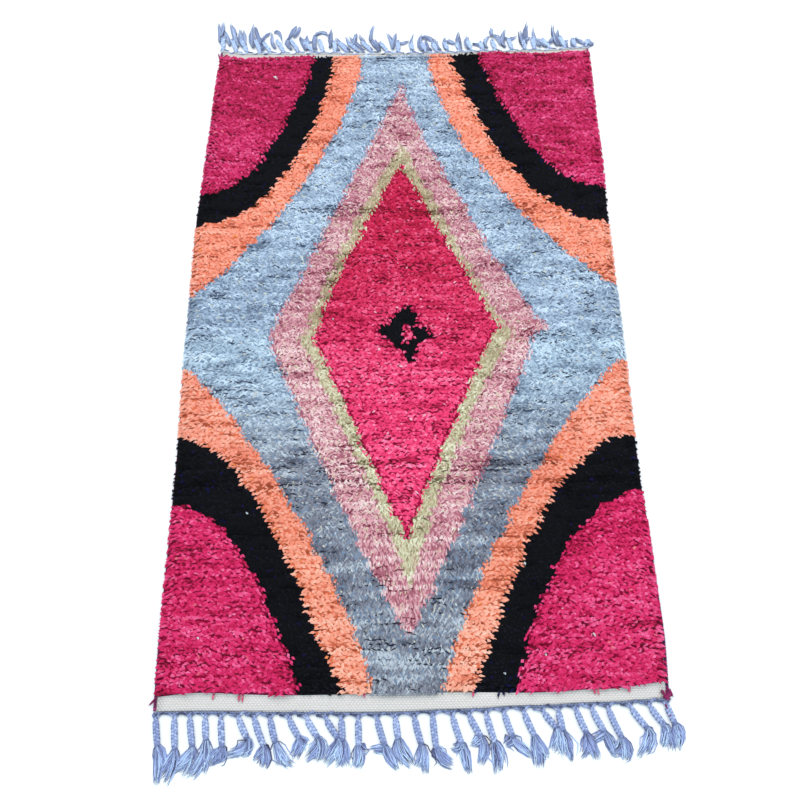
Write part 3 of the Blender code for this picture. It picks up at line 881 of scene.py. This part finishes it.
def makeGroundFinish():
    # wool dyed cell by cell, with the weft's rows of small raised dots on the bare bands
    cloth, tree, shader = startFinish("groundWeave", 0.2)
    dyed = addNode(tree, "ShaderNodeAttribute", attribute_name="dyed").outputs["Color"]
    place = addNode(tree, "ShaderNodeTexCoord").outputs["Object"]
    apart = addNode(tree, "ShaderNodeSeparateXYZ", {0: place}).outputs
    line = addMath(tree, "DIVIDE", apart[1], ground["dotDeep"])
    odd = addMath(tree, "MULTIPLY", addMath(tree, "FLOOR", line, 0.0), 0.5)
    column = addMath(tree, "ADD", addMath(tree, "DIVIDE", apart[0], ground["dotWide"]), odd)
    waves = []
    for count in (column, line):
        wave = addMath(tree, "SINE", addMath(tree, "MULTIPLY", count, math.pi), 0)
        waves.append(addMath(tree, "ABSOLUTE", wave, 0))
    dots = addMath(tree, "POWER", addMath(tree, "MULTIPLY", *waves), 2.0)
    wool = addNoise(tree, place, 420.0, 2.0)
    height = addMath(tree, "ADD", addMath(tree, "MULTIPLY", wool, 0.6), dots)
    # the colour follows the relief, darker in the hollows between the dots and paler on their tops: painted
    # shade and light
    shade = addRange(tree, height, 0.2, 1.2, 0.70, 1.06)
    colour = addMix(tree, "MULTIPLY", 1.0, dyed, addGrey(tree, shade))
    joinFinish(tree, shader, colour, addRange(tree, wool, toMin=0.98, toMax=0.82), height, 0.8)
    return cloth


def addGround():
    columns, rows, bands = ground["columns"], pile["rows"], ground["bandRows"]
    across = np.arange(columns + 1) / columns
    gridX, gridY = [], []
    for part, count in (("near", bands), ("pile", rows), ("far", bands + 1)):
        for step in range(count):
            share = step / (bands if part == "far" else count)
            along = dict(near=0.0, pile=share, far=1.0)[part]
            x, lineY = planPoint(across, along, nearPile, farPile, ground["sideInset"],
                                 ground["packedInset"], ground["packedInset"])
            if part == "near":
                edgeY = eased(ends, nearEdge, x)
                lineY = edgeY + (lineY - edgeY) * share
            elif part == "far":
                lineY = lineY + (eased(ends, farEdge, x) - lineY) * share
            gridX.append(x)
            gridY.append(lineY)
    x, y = np.array(gridX), np.array(gridY)
    lines = len(x)
    wave = ground["bandWave"] * softNoise(x, y, 0.03, 0.012, 41)
    top = np.stack([x, y, ground["thick"] + wave], axis=2)
    top[[0, -1], :, 2] -= ground["edgeDrop"]
    top[bands + 1:-bands - 1, :, 2] += ground["packed"] - ground["thick"]
    top[:, [0, -1], 2] = np.minimum(top[:, [0, -1], 2], ground["sideHigh"])
    base = np.stack([x, y, np.full(x.shape, ground["foot"])], axis=2)
    number = np.arange(x.size).reshape(x.shape)
    over = number + x.size
    j, i = np.meshgrid(np.arange(lines - 1), np.arange(columns), indexing="ij")
    j, i = j.ravel(), i.ravel()
    upFaces = np.stack([over[j, i], over[j, i + 1], over[j + 1, i + 1], over[j + 1, i]], axis=1)
    downFaces = np.stack([number[j, i], number[j + 1, i], number[j + 1, i + 1], number[j, i + 1]], axis=1)
    rim = [(0, i) for i in range(columns)] + [(j, columns) for j in range(lines - 1)]
    rim += [(lines - 1, i) for i in range(columns, 0, -1)] + [(j, 0) for j in range(lines - 1, 0, -1)]
    rim = np.array(rim)
    after = np.roll(rim, -1, axis=0)
    sideFaces = np.stack([number[tuple(rim.T)], number[tuple(after.T)],
                          over[tuple(after.T)], over[tuple(rim.T)]], axis=1)
    faces = np.concatenate([upFaces, downFaces, sideFaces])
    points = np.concatenate([base.reshape(-1, 3), top.reshape(-1, 3)])

    middleX = points[faces][:, :, 0].mean(axis=1)
    middleY = points[faces][:, :, 1].mean(axis=1)
    backs = yarnAt(middleX[:, None], middleY[:, None])[:, 0]
    colours = np.array([dye(*ground["backs"][code]) for code in range(6)])[backs]
    inset = ground["packedInset"]
    knotted = middleY > eased(ends, nearPile, middleX) + inset
    knotted &= middleY < eased(ends, farPile, middleX) - inset
    colours[~knotted] = dye(*ground["bare"])
    colours[~knotted & (middleY > 0), :3] *= ground["farShade"]
    nearBand = ~knotted & (middleY < 0)
    # the near band is painted paler close to the pile: painted light
    close = np.clip(1 - (eased(ends, nearPile, middleX) - middleY) / ground["liftDeep"], 0, 1)
    colours[nearBand, :3] *= (1 + ground["lift"] * close[nearBand])[:, None]
    # the upper face under the pile is in shade
    underPile = knotted.copy()
    underPile[len(upFaces):] = False
    colours[underPile, :3] *= 0.6
    mesh = makeDyedMesh("wovenGround", points, faces.tolist(), np.repeat(colours, 4, axis=0))
    return settlePiece(linkObject("wovenGround", mesh), makeGroundFinish(), "ground_cloth")


groundPiece = addGround()


# Overcast sides
overcast = dict(
    turns=6,                 # corners of one turn of the yarn
    pitch=0.0050,
    half=0.0027,             # half the yarn's width along the side
    thick=0.0013,
    middle=0.0042,           # the cord's middle, in from the outline
    halfWide=0.0024,
    halfHigh=0.0020,
    centreHigh=0.0034,
    slant=0.0009,
    cornerX=0.49,
    endInset=0.004,
    stretched=(0.0010, 0.0032),  # left and right cord, pulled outward towards the near corners
    stretchFrom=-0.30,
    stretchFull=-0.68,
)


def addOvercast(name, column, outward, node, wool):
    rng = np.random.default_rng(51 + column)
    turns = overcast["turns"]
    model = modelStrand(3, [k / turns for k in range(1, turns)], pointed=False)
    nearY = eased(ends, nearEdge, outward * overcast["cornerX"]) + overcast["endInset"]
    farY = eased(ends, farEdge, outward * overcast["cornerX"]) - overcast["endInset"]
    y = np.arange(nearY, farY, overcast["pitch"])
    y = y + rng.normal(0, 0.0003, len(y))
    start, full = overcast["stretchFrom"], overcast["stretchFull"]
    share = np.clip((start - y) / (start - full), 0, 1)
    pulled = overcast["stretched"][1 if outward > 0 else 0] * share
    x = eased(sides, column, y) - outward * (overcast["middle"] - pulled)
    angle = (model["places"] * 2 * math.pi)[None, :] + rng.uniform(0, 6.28, len(y))[:, None]
    paths = np.stack([
        x[:, None] + overcast["halfWide"] * np.cos(angle),
        y[:, None] + overcast["slant"] * np.sin(angle),
        overcast["centreHigh"] + overcast["halfHigh"] * np.sin(angle),
    ], axis=2)
    along = np.tile([0.0, 1.0, 0.0], (len(y), 1))
    size = overcast["half"] * rng.uniform(0.85, 1.15, len(y))[:, None]
    tones = np.clip(0.45 + 0.3 * softNoise(x, y, 1.0, 0.03, 52) + rng.normal(0, 0.22, len(y)), 0, 1)
    accents = (rng.uniform(0, 1, len(y)) < 0.22) * rng.uniform(0.5, 1.0, len(y))
    layer = layStrands(model, paths, size, overcast["thick"], tones, accents, along)
    return buildPiece(name, [layer], wool, node)


plumWool = makeWool("plumWool", ((40, 12, 44), (104, 22, 74), (150, 34, 100), (196, 80, 140)), (46, 44, 92),
                    around=4.0, along=9.0, root=1.0)
sidePieces = [
    addOvercast("sideCordLeft", left, -1, "selvedge_left", plumWool),
    addOvercast("sideCordRight", right, 1, "selvedge_right", plumWool),
]


# Fringes: a twined edge, three-strand plaits, a knot on each and a tassel in two bunches of loose yarn
fringe = dict(
    braids=30,
    cornerY=0.83,            # the row of braids starts and ends at the sides' place here
    sideInset=0.0012,
    firstBraid=0.0055,       # the first and last braid, in from the row's ends
    start=0.003,             # the braid's middle line starts this far from the cloth's edge
    rootHalf=0.0168,         # the outer strands meet their neighbours' halfway along the cloth's edge
    archDeep=0.0130,         # and sweep into the plait within this length
    archShare=0.30,
    plaitHalf=0.0041,        # sideways swing of a strand's middle
    plaitRise=0.0018,
    strandHalf=0.0028,
    strandRings=29,
    cross=0.0180,            # length of one full turn of the plait
    middleHigh=0.0045,
    knotHalf=0.0040,
    knotRise=0.0024,
    knotLift=0.0006,
    knotTurns=10,            # corners of one turn of a knot's yarn
    knotSlant=0.0026,
    knotYarn=(0.0027, 0.0020),
    bunches=(26, 17),        # yarns in a tassel's two bunches
    widest=0.0110,
    strays=3,
    strayWide=0.016,
    strayWobble=3.0,
    neck=0.0022,             # half width of a bunch where it leaves its knot
    lowest=0.0014,           # the yarns' middles lie at least this high
    curl=(0.0008, 0.0030),
    wobble=(0.0005, 0.0022),
    lift=0.0012,
    leaves=0.0040,           # height at which the yarns leave their knot
    leavesSpread=0.0016,
    wispYarns=12,
    wispHalf=0.0052,
    wispWobble=0.0024,
    wispHigh=(0.0040, 0.0060),
    wispHeap=0.0045,
    wispSink=0.0020,         # how much lower a wisp's tip is than its root
    yarnHalf=0.0012,
    heap=0.0070,
    soften=0.25,
)
# A row for each braid, in millimetres: its root's shift from even spacing, the plait's sideways lean and
# reach, then, for the near end, where its tassel's two bunches end, sideways and outward from the knot
nearFringe = dict(outward=-1, edge=nearEdge, node="fringe_near", rootShade=0.35, knotSize=1.0,
                  headerYarn=0.0017, rows=np.array([
    (0, 8, 53, 5, 72, 22, 42),
    (2, 6, 60, -24, 50, -10, 66),
    (-2, 9, 56, -36, 46, -18, 54),
    (-6, 4, 44, -24, 72, -2, 62),
    (-10, 6, 56, -30, 34, -8, 32),
    (-11, 19, 42, -42, 28, -8, 38),
    (-14, 20, 53, 4, 44, -14, 34),
    (-17, 12, 48, 38, 46, 14, 44),
    (-16, 21, 40, -8, 40, 16, 18),
    (-16, 23, 40, -24, 42, 4, 46),
    (-13, 24, 40, -24, 48, -6, 52),
    (-15, 3, 44, 10, 50, -8, 44),
    (-16, 1, 52, -5, 46, 20, 14),
    (-15, 15, 53, 24, 46, -30, 8),
    (-13, 5, 41, 26, 52, 4, 50),
    (-11, 13, 54, 10, 54, -8, 42),
    (-9, 5, 60, 34, 32, 14, 20),
    (-6, 16, 54, 14, 56, -20, 8),
    (-8, 21, 44, -2, 52, -20, 16),
    (-8, 13, 53, 4, 60, 16, 44),
    (-8, 14, 48, 40, 38, -16, 16),
    (-4, 17, 47, 3, 60, 28, 42),
    (-3, 25, 35, -8, 46, 12, 52),
    (-5, 6, 40, 16, 60, 4, 50),
    (-5, 16, 47, 18, 50, -14, 48),
    (-9, 20, 46, 22, 48, -30, 16),
    (-11, 20, 57, 6, 44, -22, 36),
    (-3, 27, 42, -20, 52, -4, 50),
    (0, 24, 40, -6, 44, 10, 50),
    (0, 12, 40, 16, 34, 0, 52),
]))
farFringe = dict(outward=1, edge=farEdge, node="fringe_far", rootShade=0.0, knotSize=0.6,
                 headerYarn=0.0011, rows=np.array([
    (0, -3, 44), (3, -14, 44), (-1, -20, 46), (0, -16, 46), (-6, -20, 36), (-4, -20, 44), (2, -22, 44),
    (6, -20, 36), (0, -10, 44), (0, -4, 38), (-2, -24, 38), (-4, -28, 36), (-2, -28, 38), (6, -20, 36),
    (0, 0, 40), (6, -6, 34), (8, -12, 34), (4, -12, 32), (0, -10, 34), (-2, -8, 30), (-6, -8, 38),
    (-8, -6, 30), (-8, -8, 36), (3, -8, 38), (4, -4, 32), (-4, -4, 40), (4, -18, 36), (10, -10, 40),
    (4, -4, 28), (0, 4, 24),
]))
# The far plaits' ends have come loose: start, bend and tip of each wisp, millimetres across and outward
farWisps = np.array([
    (-495, 30, -497, 62, -505, 108), (-494, 50, -492, 70, -490, 112), (-468, 24, -476, 52, -492, 86),
    (-444, 24, -456, 54, -476, 116), (-452, 34, -455, 60, -463, 98), (-430, 24, -441, 50, -446, 98),
    (-424, 26, -431, 56, -434, 94), (-402, 22, -418, 46, -407, 112), (-403, 96, -395, 60, -379, 38),
    (-376, 14, -389, 30, -400, 66), (-343, 20, -358, 36, -356, 78), (-384, 34, -380, 68, -357, 80),
    (-349, 74, -338, 100, -325, 40), (-300, 16, -320, 34, -309, 68), (-311, 50, -303, 82, -288, 106),
    (-297, 58, -284, 79, -279, 102), (-258, 14, -271, 34, -279, 67), (-265, 12, -260, 45, -261, 71),
    (-279, 56, -263, 40, -244, 45), (-234, 14, -247, 40, -233, 84), (-238, 64, -217, 92, -201, 62),
    (-197, 20, -198, 60, -195, 92), (-172, 12, -190, 32, -198, 60), (-143, 12, -163, 32, -187, 60),
    (-126, 12, -147, 38, -158, 70), (-104, 12, -125, 32, -147, 64), (-133, 30, -131, 60, -125, 79),
    (-83, 12, -104, 32, -120, 74), (-61, 12, -77, 32, -93, 67), (-88, 44, -90, 71, -78, 108),
    (-65, 10, -70, 32, -76, 54), (-29, 16, -27, 42, -47, 85), (-28, 16, -28, 48, -16, 79),
    (-18, 38, -1, 34, 15, 48), (27, 10, 12, 30, 31, 74), (52, 10, 36, 32, 50, 74), (76, 10, 58, 28, 63, 56),
    (50, 58, 74, 66, 85, 34), (100, 10, 85, 30, 85, 60), (119, 10, 106, 32, 116, 62),
    (115, 40, 131, 46, 141, 30), (156, 12, 144, 36, 152, 82), (176, 10, 166, 34, 176, 62),
    (187, 28, 203, 34, 220, 16),
    (226, 12, 209, 46, 241, 58), (241, 56, 264, 58, 260, 20), (239, 54, 239, 72, 241, 88),
    (273, 14, 259, 44, 279, 83), (274, 48, 290, 34, 308, 58), (323, 16, 317, 46, 317, 80),
    (331, 24, 325, 52, 341, 112), (370, 14, 349, 30, 353, 91), (317, 30, 333, 38, 344, 52),
    (382, 12, 373, 34, 360, 46), (415, 14, 402, 40, 408, 104), (424, 14, 414, 46, 422, 79),
    (389, 24, 403, 33, 411, 56), (441, 8, 430, 24, 446, 37), (457, 8, 451, 24, 462, 43),
    (462, 33, 478, 30, 492, 6), (500, 8, 502, 20, 503, 35), (500, 8, 506, 17, 513, 22),
])


def braidPlaces(side):
    # where the row of braids begins and ends, each braid's middle and the cloth's edge there
    outward = side["outward"]
    first = eased(sides, left, outward * fringe["cornerY"]) + fringe["sideInset"]
    last = eased(sides, right, outward * fringe["cornerY"]) - fringe["sideInset"]
    middles = np.linspace(first + fringe["firstBraid"], last - fringe["firstBraid"], fringe["braids"])
    middles = middles + side["rows"][:, 0] / 1000
    edges = eased(ends, side["edge"], middles) + outward * 0.0003
    return first, last, middles, edges


def braidLine(side, t):
    # middle line of every plait at shares t of its reach: (braids, shares, 2)
    _, _, middles, edges = braidPlaces(side)
    outward = side["outward"]
    lean, reach = side["rows"][:, 1:3].T[:, :, None] / 1000
    x = middles[:, None] + lean * t ** 1.35
    y = edges[:, None] + outward * (fringe["start"] + reach * t)
    return np.stack([x, y], axis=2)


def addPlaits(name, side, wool, seed):
    rng = np.random.default_rng(seed)
    rings = fringe["strandRings"]
    model = modelStrand(5, [k / (rings - 1) for k in range(1, rings - 1)], pointed=False)
    t = model["places"][None, :]
    first, last, _, _ = braidPlaces(side)
    reach = side["rows"][:, 2:3] / 1000
    # a quarter of an ellipse carries each outer strand from the cloth's edge into the plait
    bend = np.clip(t / fringe["archShare"], 0, 1) * math.pi / 2
    archPart = fringe["archDeep"] / reach
    share = archPart * (1 - np.cos(bend))
    share = share + (1 - archPart) * np.clip((t - fringe["archShare"]) / (1 - fringe["archShare"]), 0, 1)
    line = braidLine(side, share)
    run = runOf(braidLine(side, t))
    across = -acrossOf(run) * side["outward"]
    turn = 2 * math.pi * reach * share / fringe["cross"] + rng.uniform(0, 6.28, (fringe["braids"], 1))
    gather = np.clip((t - 0.16) / 0.2, 0, 1)
    tighten = 1 - 0.25 * np.clip((t - 0.85) / 0.15, 0, 1)
    layers = []
    for strand in range(3):
        phase = turn + strand * 2 * math.pi / 3
        off = (strand - 1) * fringe["rootHalf"] * (1 - np.sin(bend))
        off = off + fringe["plaitHalf"] * np.sin(phase) * tighten * gather
        place = line + across * off[..., None]
        place[..., 0] = np.clip(place[..., 0], first, last + 0.03 * share)
        high = fringe["middleHigh"] + fringe["plaitRise"] * np.sin(2 * phase) * gather
        paths = np.concatenate([place, high[..., None]], axis=2)
        half = fringe["strandHalf"] * (0.72 + 0.28 * gather) * rng.uniform(0.92, 1.08, (len(line), 1))
        # strands are painted paler where they lie on top and darker where they pass under, and the near
        # plaits darker at the root: painted light and shade
        tones = 0.48 + 0.34 * np.sin(2 * phase) + rng.normal(0, 0.10, (len(line), 1))
        tones = tones - side["rootShade"] * np.clip(1 - t / 0.2, 0, 1)
        layers.append(layStrands(model, paths, half, half * 0.92, np.clip(tones, 0, 1)))

    # the knot that ends each plait: two crossed turns of yarn
    turns = fringe["knotTurns"]
    loop = modelStrand(4, [k / turns for k in range(1, turns)], pointed=False)
    yarnWide, yarnThick = fringe["knotYarn"]
    knotSize = side["knotSize"]
    centre = line[:, -1]
    forward = np.stack([run[:, -1, 0], run[:, -1, 1], np.zeros(len(run))], axis=1)
    sideway = np.stack([-forward[:, 1], forward[:, 0], forward[:, 2]], axis=1)
    for tilt in (-1, 1):
        angle = (loop["places"] * 2 * math.pi)[None, :, None]
        rise = fringe["middleHigh"] + fringe["knotLift"] + fringe["knotRise"] * np.sin(angle)
        spot = centre[:, None, :] + sideway[:, None, :2] * fringe["knotHalf"] * knotSize * np.cos(angle)
        spot = spot + forward[:, None, :2] * tilt * fringe["knotSlant"] * np.cos(angle + 0.6)
        paths = np.concatenate([spot, np.broadcast_to(rise, (*spot.shape[:2], 1))], axis=2)
        tones = np.clip(rng.normal(0.48, 0.15, len(centre)), 0, 1)
        layers.append(layStrands(loop, paths, yarnWide * knotSize, yarnThick, tones, None, forward))
    return buildPiece(name, layers, wool, side["node"])


yarnCuts = (0.16, 0.36, 0.60, 0.82)      # where a loose yarn bends, in shares of its length


def layBunch(model, rng, start, heading, tip, count, widest, stray=1.0):
    # loose yarns from the knot along the plait's heading, swept round to the bunch's tip
    t = model["places"][None, :]
    length = np.linalg.norm(tip - start)
    reach = rng.uniform(0.80, 1.04, count)[:, None] * t
    bend = start + heading * length * rng.uniform(0.35, 0.60)
    spot = bendPath(start, bend, tip, reach[..., None])
    across = acrossOf(runOf(spot))
    share = rng.permutation(np.linspace(-1, 1, count)) + rng.normal(0, 0.06, count)
    widest = widest * rng.uniform(0.75, 1.2)
    half = fringe["neck"] + (widest - fringe["neck"]) * np.clip(reach / 0.45, 0, 1) ** 0.75
    half = half * (1 - rng.uniform(0.1, 0.7) * np.clip((reach - 0.5) / 0.5, 0, 1))
    curl = rng.uniform(*fringe["curl"]) * np.sin(reach * rng.uniform(4, 7) + rng.uniform(0, 6.28))
    swing = rng.uniform(*fringe["wobble"], (count, 1)) * stray
    wobble = swing * np.sin(reach * rng.uniform(5, 11, (count, 1)) + rng.uniform(0, 6.28, (count, 1)))
    off = share[:, None] * half + (curl + wobble) * reach ** 0.5
    spot = spot + across * off[..., None]
    level = rng.uniform(0, 1, count)[:, None]
    crown = 1 - np.clip(np.abs(share), 0, 1)[:, None] ** 2
    high = fringe["lowest"] + fringe["heap"] * level * crown * (1 - 0.65 * reach)
    lift = fringe["lift"] * stray * rng.uniform(-0.3, 1, (count, 1))
    high = high + lift * np.sin(math.pi * np.clip(reach, 0, 1))
    high[:, 0] = fringe["leaves"] + fringe["leavesSpread"] * (level[:, 0] - 0.5)
    paths = np.concatenate([spot, np.maximum(high, fringe["lowest"])[..., None]], axis=2)
    thick = fringe["yarnHalf"] * rng.uniform(0.8, 1.3, (count, 1))
    thick = thick * np.interp(t, (0, 0.15, 0.8, 1), (0.8, 1, 0.9, 0))
    # yarns lying higher in the heap are painted paler and lower ones darker: painted light and shade; the
    # tone also rises towards the tip
    tones = 0.16 + 0.36 * level + rng.normal(0, 0.24, (count, 1)) + 0.30 * reach
    return layStrands(model, paths, thick, thick * 0.95, np.clip(tones, 0, 1))


def addTassels(name, side, wool, seed):
    rng = np.random.default_rng(seed)
    model = modelStrand(3, yarnCuts)
    knots = braidLine(side, np.array([[0.9, 1.0]]))
    layers = []
    for (before, start), row in zip(knots, side["rows"] / 1000):
        heading = (start - before) / np.linalg.norm(start - before)
        tips = row[3:].reshape(2, 2) * (1, side["outward"]) + start
        for tip, count in zip(tips, fringe["bunches"]):
            layers.append(layBunch(model, rng, start, heading, tip, count, fringe["widest"]))
        between = tips.mean(axis=0)
        layers.append(layBunch(model, rng, start, heading, between, fringe["strays"],
                               fringe["strayWide"], fringe["strayWobble"]))
    return buildPiece(name, layers, wool, side["node"], fringe["soften"])


def addWisps(name, side, wool, seed):
    # loose bunches that curl over each other at the far end, each drawn out to a point
    rng = np.random.default_rng(seed)
    model = modelStrand(3, yarnCuts)
    t = model["places"][None, :, None]
    count = fringe["wispYarns"]
    layers = []
    for row in farWisps / 1000:
        start, bend, tip = row.reshape(3, 2)
        reach = rng.uniform(0.75, 1.05, (count, 1, 1)) * t
        spot = bendPath(start, bend, tip, reach)
        spot[..., 1] += eased(ends, side["edge"], spot[..., 0])
        across = acrossOf(runOf(spot))
        reach = reach[..., 0]
        share = rng.permutation(np.linspace(-1, 1, count))[:, None]
        half = fringe["wispHalf"] * rng.uniform(0.7, 1.3) * np.sin(math.pi * (0.12 + 0.80 * reach))
        wobble = rng.uniform(0, fringe["wispWobble"], (count, 1))
        wobble = wobble * np.sin(reach * 9 + rng.uniform(0, 6.28, (count, 1)))
        spot = spot + across * (share * half + wobble)[..., None]
        level = rng.uniform(0, 1, (count, 1))
        high = fringe["wispHeap"] * level * (1 - 0.8 * reach) * (1 - share ** 2)
        high = high + rng.uniform(*fringe["wispHigh"]) - fringe["wispSink"] * reach
        high = np.maximum(high, fringe["lowest"])
        paths = np.concatenate([spot, high[..., None]], axis=2)
        thick = fringe["yarnHalf"] * rng.uniform(0.7, 1.2, (count, 1)) * np.array((0.8, 1, 1, 1, 0.9, 0))
        # higher yarns are painted paler and yarns at a wisp's edges darker: painted light and shade; the
        # tone also rises towards the tip
        tones = 0.30 + 0.40 * level - 0.22 * np.abs(share) + rng.normal(0, 0.16, (count, 1)) + 0.10 * reach
        layers.append(layStrands(model, paths, thick, thick * 0.95, np.clip(tones, 0, 1)))
    return buildPiece(name, layers, wool, side["node"], fringe["soften"])


header = dict(
    step=0.0023,
    out=0.0028,              # its middle, outward from the cloth's edge
    twist=0.0105,            # length of one turn
    swing=0.0011,
    high=0.0031,
    rise=0.0013,
)


def addHeader(name, side, wool):
    # two strands twined round each other along the cloth's edge
    first, last, _, _ = braidPlaces(side)
    bent = bpy.data.curves.new(name, "CURVE")
    bent.dimensions = "3D"
    bent.bevel_depth = side["headerYarn"]
    bent.bevel_resolution = 0
    bent.use_fill_caps = True
    x = np.arange(first, last, header["step"])
    edge = eased(ends, side["edge"], x) + side["outward"] * header["out"]
    for strand in range(2):
        angle = 2 * math.pi * x / header["twist"] + strand * math.pi
        spline = bent.splines.new("POLY")
        spline.points.add(len(x) - 1)
        places = np.stack([x, edge + header["swing"] * np.cos(angle),
                           header["high"] + header["rise"] * np.sin(angle), np.ones(len(x))], axis=1)
        spline.points.foreach_set("co", places.astype(np.float32).ravel())
    rope = linkObject(name, bent)
    deselectAll()
    rope.select_set(True)
    bpy.context.view_layer.objects.active = rope
    bpy.ops.object.convert(target="MESH")
    rope = bpy.context.object
    rope.data.shade_smooth()
    return settlePiece(rope, wool, side["node"])


def makeTwineFinish(name, dark, pale):
    # the twined edge: lavender yarn with a fine fibre grain
    twine, tree, shader = startFinish(name, 0.25)
    place = addNode(tree, "ShaderNodeTexCoord").outputs["Object"]
    grain = addNoise(tree, place, 260.0)
    colour = addRamp(tree, grain, (0.3, 0.75), (dark, pale))
    joinFinish(tree, shader, colour, addRange(tree, grain, toMin=0.98, toMax=0.80), grain, 0.5, 0.001)
    return twine


tasselFibre = dict(around=4.0, along=5.0, streak=0.35, root=0.75)
plaitFibre = dict(around=4.0, along=26.0, streak=0.7, root=1.0)
lavenderWool = makeWool("lavenderWool", ((78, 76, 108), (134, 140, 186), (170, 182, 228), (216, 236, 255)),
                        **tasselFibre)
plaitWool = makeWool("plaitWool", ((66, 68, 98), (114, 122, 164), (146, 156, 198), (196, 206, 236)),
                     **plaitFibre)
greyWool = makeWool("greyLavenderWool", ((74, 78, 106), (124, 132, 170), (164, 176, 212), (216, 232, 252)),
                    **tasselFibre)
greyPlaitWool = makeWool("greyPlaitWool", ((84, 92, 120), (138, 150, 188), (172, 186, 222), (210, 228, 250)),
                         **plaitFibre)
# one twine in two colours: dark at the near end as painted shade under the cloth's edge, near-white at the
# far end as painted light
shadedTwine = makeTwineFinish("shadedTwine", (78, 84, 112), (152, 162, 198))
litTwine = makeTwineFinish("litTwine", (204, 206, 208), (236, 236, 234))
fringePieces = [
    addHeader("headerNear", nearFringe, shadedTwine),
    addPlaits("plaitsNear", nearFringe, plaitWool, 61),
    addTassels("tasselsNear", nearFringe, lavenderWool, 62),
    addHeader("headerFar", farFringe, litTwine),
    addPlaits("plaitsFar", farFringe, greyPlaitWool, 71),
    addWisps("tasselsFar", farFringe, greyWool, 72),
]


# Stray tufts: a bright or dark knot here and there, and yarn that strays over the bare bands
tuftYarn = dict(
    yarns=7,
    half=0.0011,
    high=0.0190,             # on the pile
    low=0.0078,              # past the pile's ends
    pileMiddle=-0.010,
    pileHalf=0.790,
    spread=0.00156,
    soften=0.4,
)
# places: start across and along, tip across and along, in millimetres
tufts = dict(
    raspberry=dict(
        slotName="pile_raspberry",
        shades=((170, 24, 66), (222, 58, 104), (242, 100, 136), (252, 168, 186)),
        places=((-381, -805, -383, -816), (-331, -805, -332, -819), (-326, -805, -325, -820),
                (352, -800, 354, -813), (358, -799, 361, -812), (420, -797, 418, -809),
                (-352, 784, -348, 796), (262, 784, 266, 796), (262, 784, 256, 795),
                (120, -805, 117, -814), (-90, -806, -92, -814)),
    ),
    navy=dict(
        slotName="pile_black",
        shades=((10, 8, 34), (16, 14, 52), (24, 20, 74), (50, 48, 110)),
        places=((-216, 780, -210, 794), (-206, 782, -198, 793), (170, -803, 167, -816),
                (128, 778, 120, 790), (186, 780, 190, 791), (176, -803, 178, -813)),
    ),
    plum=dict(
        slotName="selvedge_plum",
        shades=((74, 6, 44), (118, 12, 68), (146, 26, 90), (190, 70, 130)),
        places=((-490, 790, -497, 812), (-484, 792, -488, 808), (480, 786, 486, 802), (494, 780, 498, 798),
                (482, -808, 496, -817), (499, -809, 484, -819), (490, -806, 493, -822),
                (484, -816, 499, -821), (500, -814, 486, -822), (496, -803, 502, -817),
                (484, -806, 487, -820), (-496, -816, -505, -826), (487, -832, 489, -839),
                (491, -848, 492, -853)),
    ),
    pale=dict(
        slotName="pile_cream",
        shades=((150, 150, 156), (190, 196, 200), (220, 226, 230), (246, 250, 250)),
        places=((-338, -450, -337, -454), (234, -560, 235, -564), (-345, 719, -329, 711),
                (-169, 2, -167, -3), (-118, -570, -116, -575), (300, -650, 303, -653),
                (180, -772, 183, -774), (262, -737, 264, -740), (360, -700, 363, -703),
                (90, -640, 92, -644), (-420, -700, -417, -704)),
    ),
)


def addTufts(name, slotName, shades, places):
    rng = np.random.default_rng(83)
    wool = makeWool(name + "TuftWool", shades, around=4.0, along=4.0, streak=0.4, root=0.8)
    t = lock["places"][None, :, None]
    count = tuftYarn["yarns"]
    layers = []
    for place in np.array(places) / 1000:
        root = place[:2] + rng.normal(0, 0.0012, (count, 1, 2))
        tip = place[2:] + rng.normal(0, tuftYarn["spread"], (count, 1, 2))
        spot = root * (1 - t) + tip * t
        overPile = np.abs(spot[..., 1] - tuftYarn["pileMiddle"]) < tuftYarn["pileHalf"]
        high = np.where(overPile, tuftYarn["high"], tuftYarn["low"]) * np.array((0.8, 1.0, 0.88))
        high = high * rng.uniform(0.94, 1.02, (count, 1))
        half = tuftYarn["half"] * rng.uniform(0.8, 1.2, (count, 1)) * np.array((0.8, 1.0, 0.0))
        tones = rng.uniform(0.2, 1.0, count)
        paths = np.concatenate([spot, high[..., None]], axis=2)
        layers.append(layStrands(lock, paths, half, half, tones))
    buildPiece(name + "Tufts", layers, wool, "pile", tuftYarn["soften"])


for name, settings in tufts.items():
    addTufts(name, **settings)


print("rug: finished")
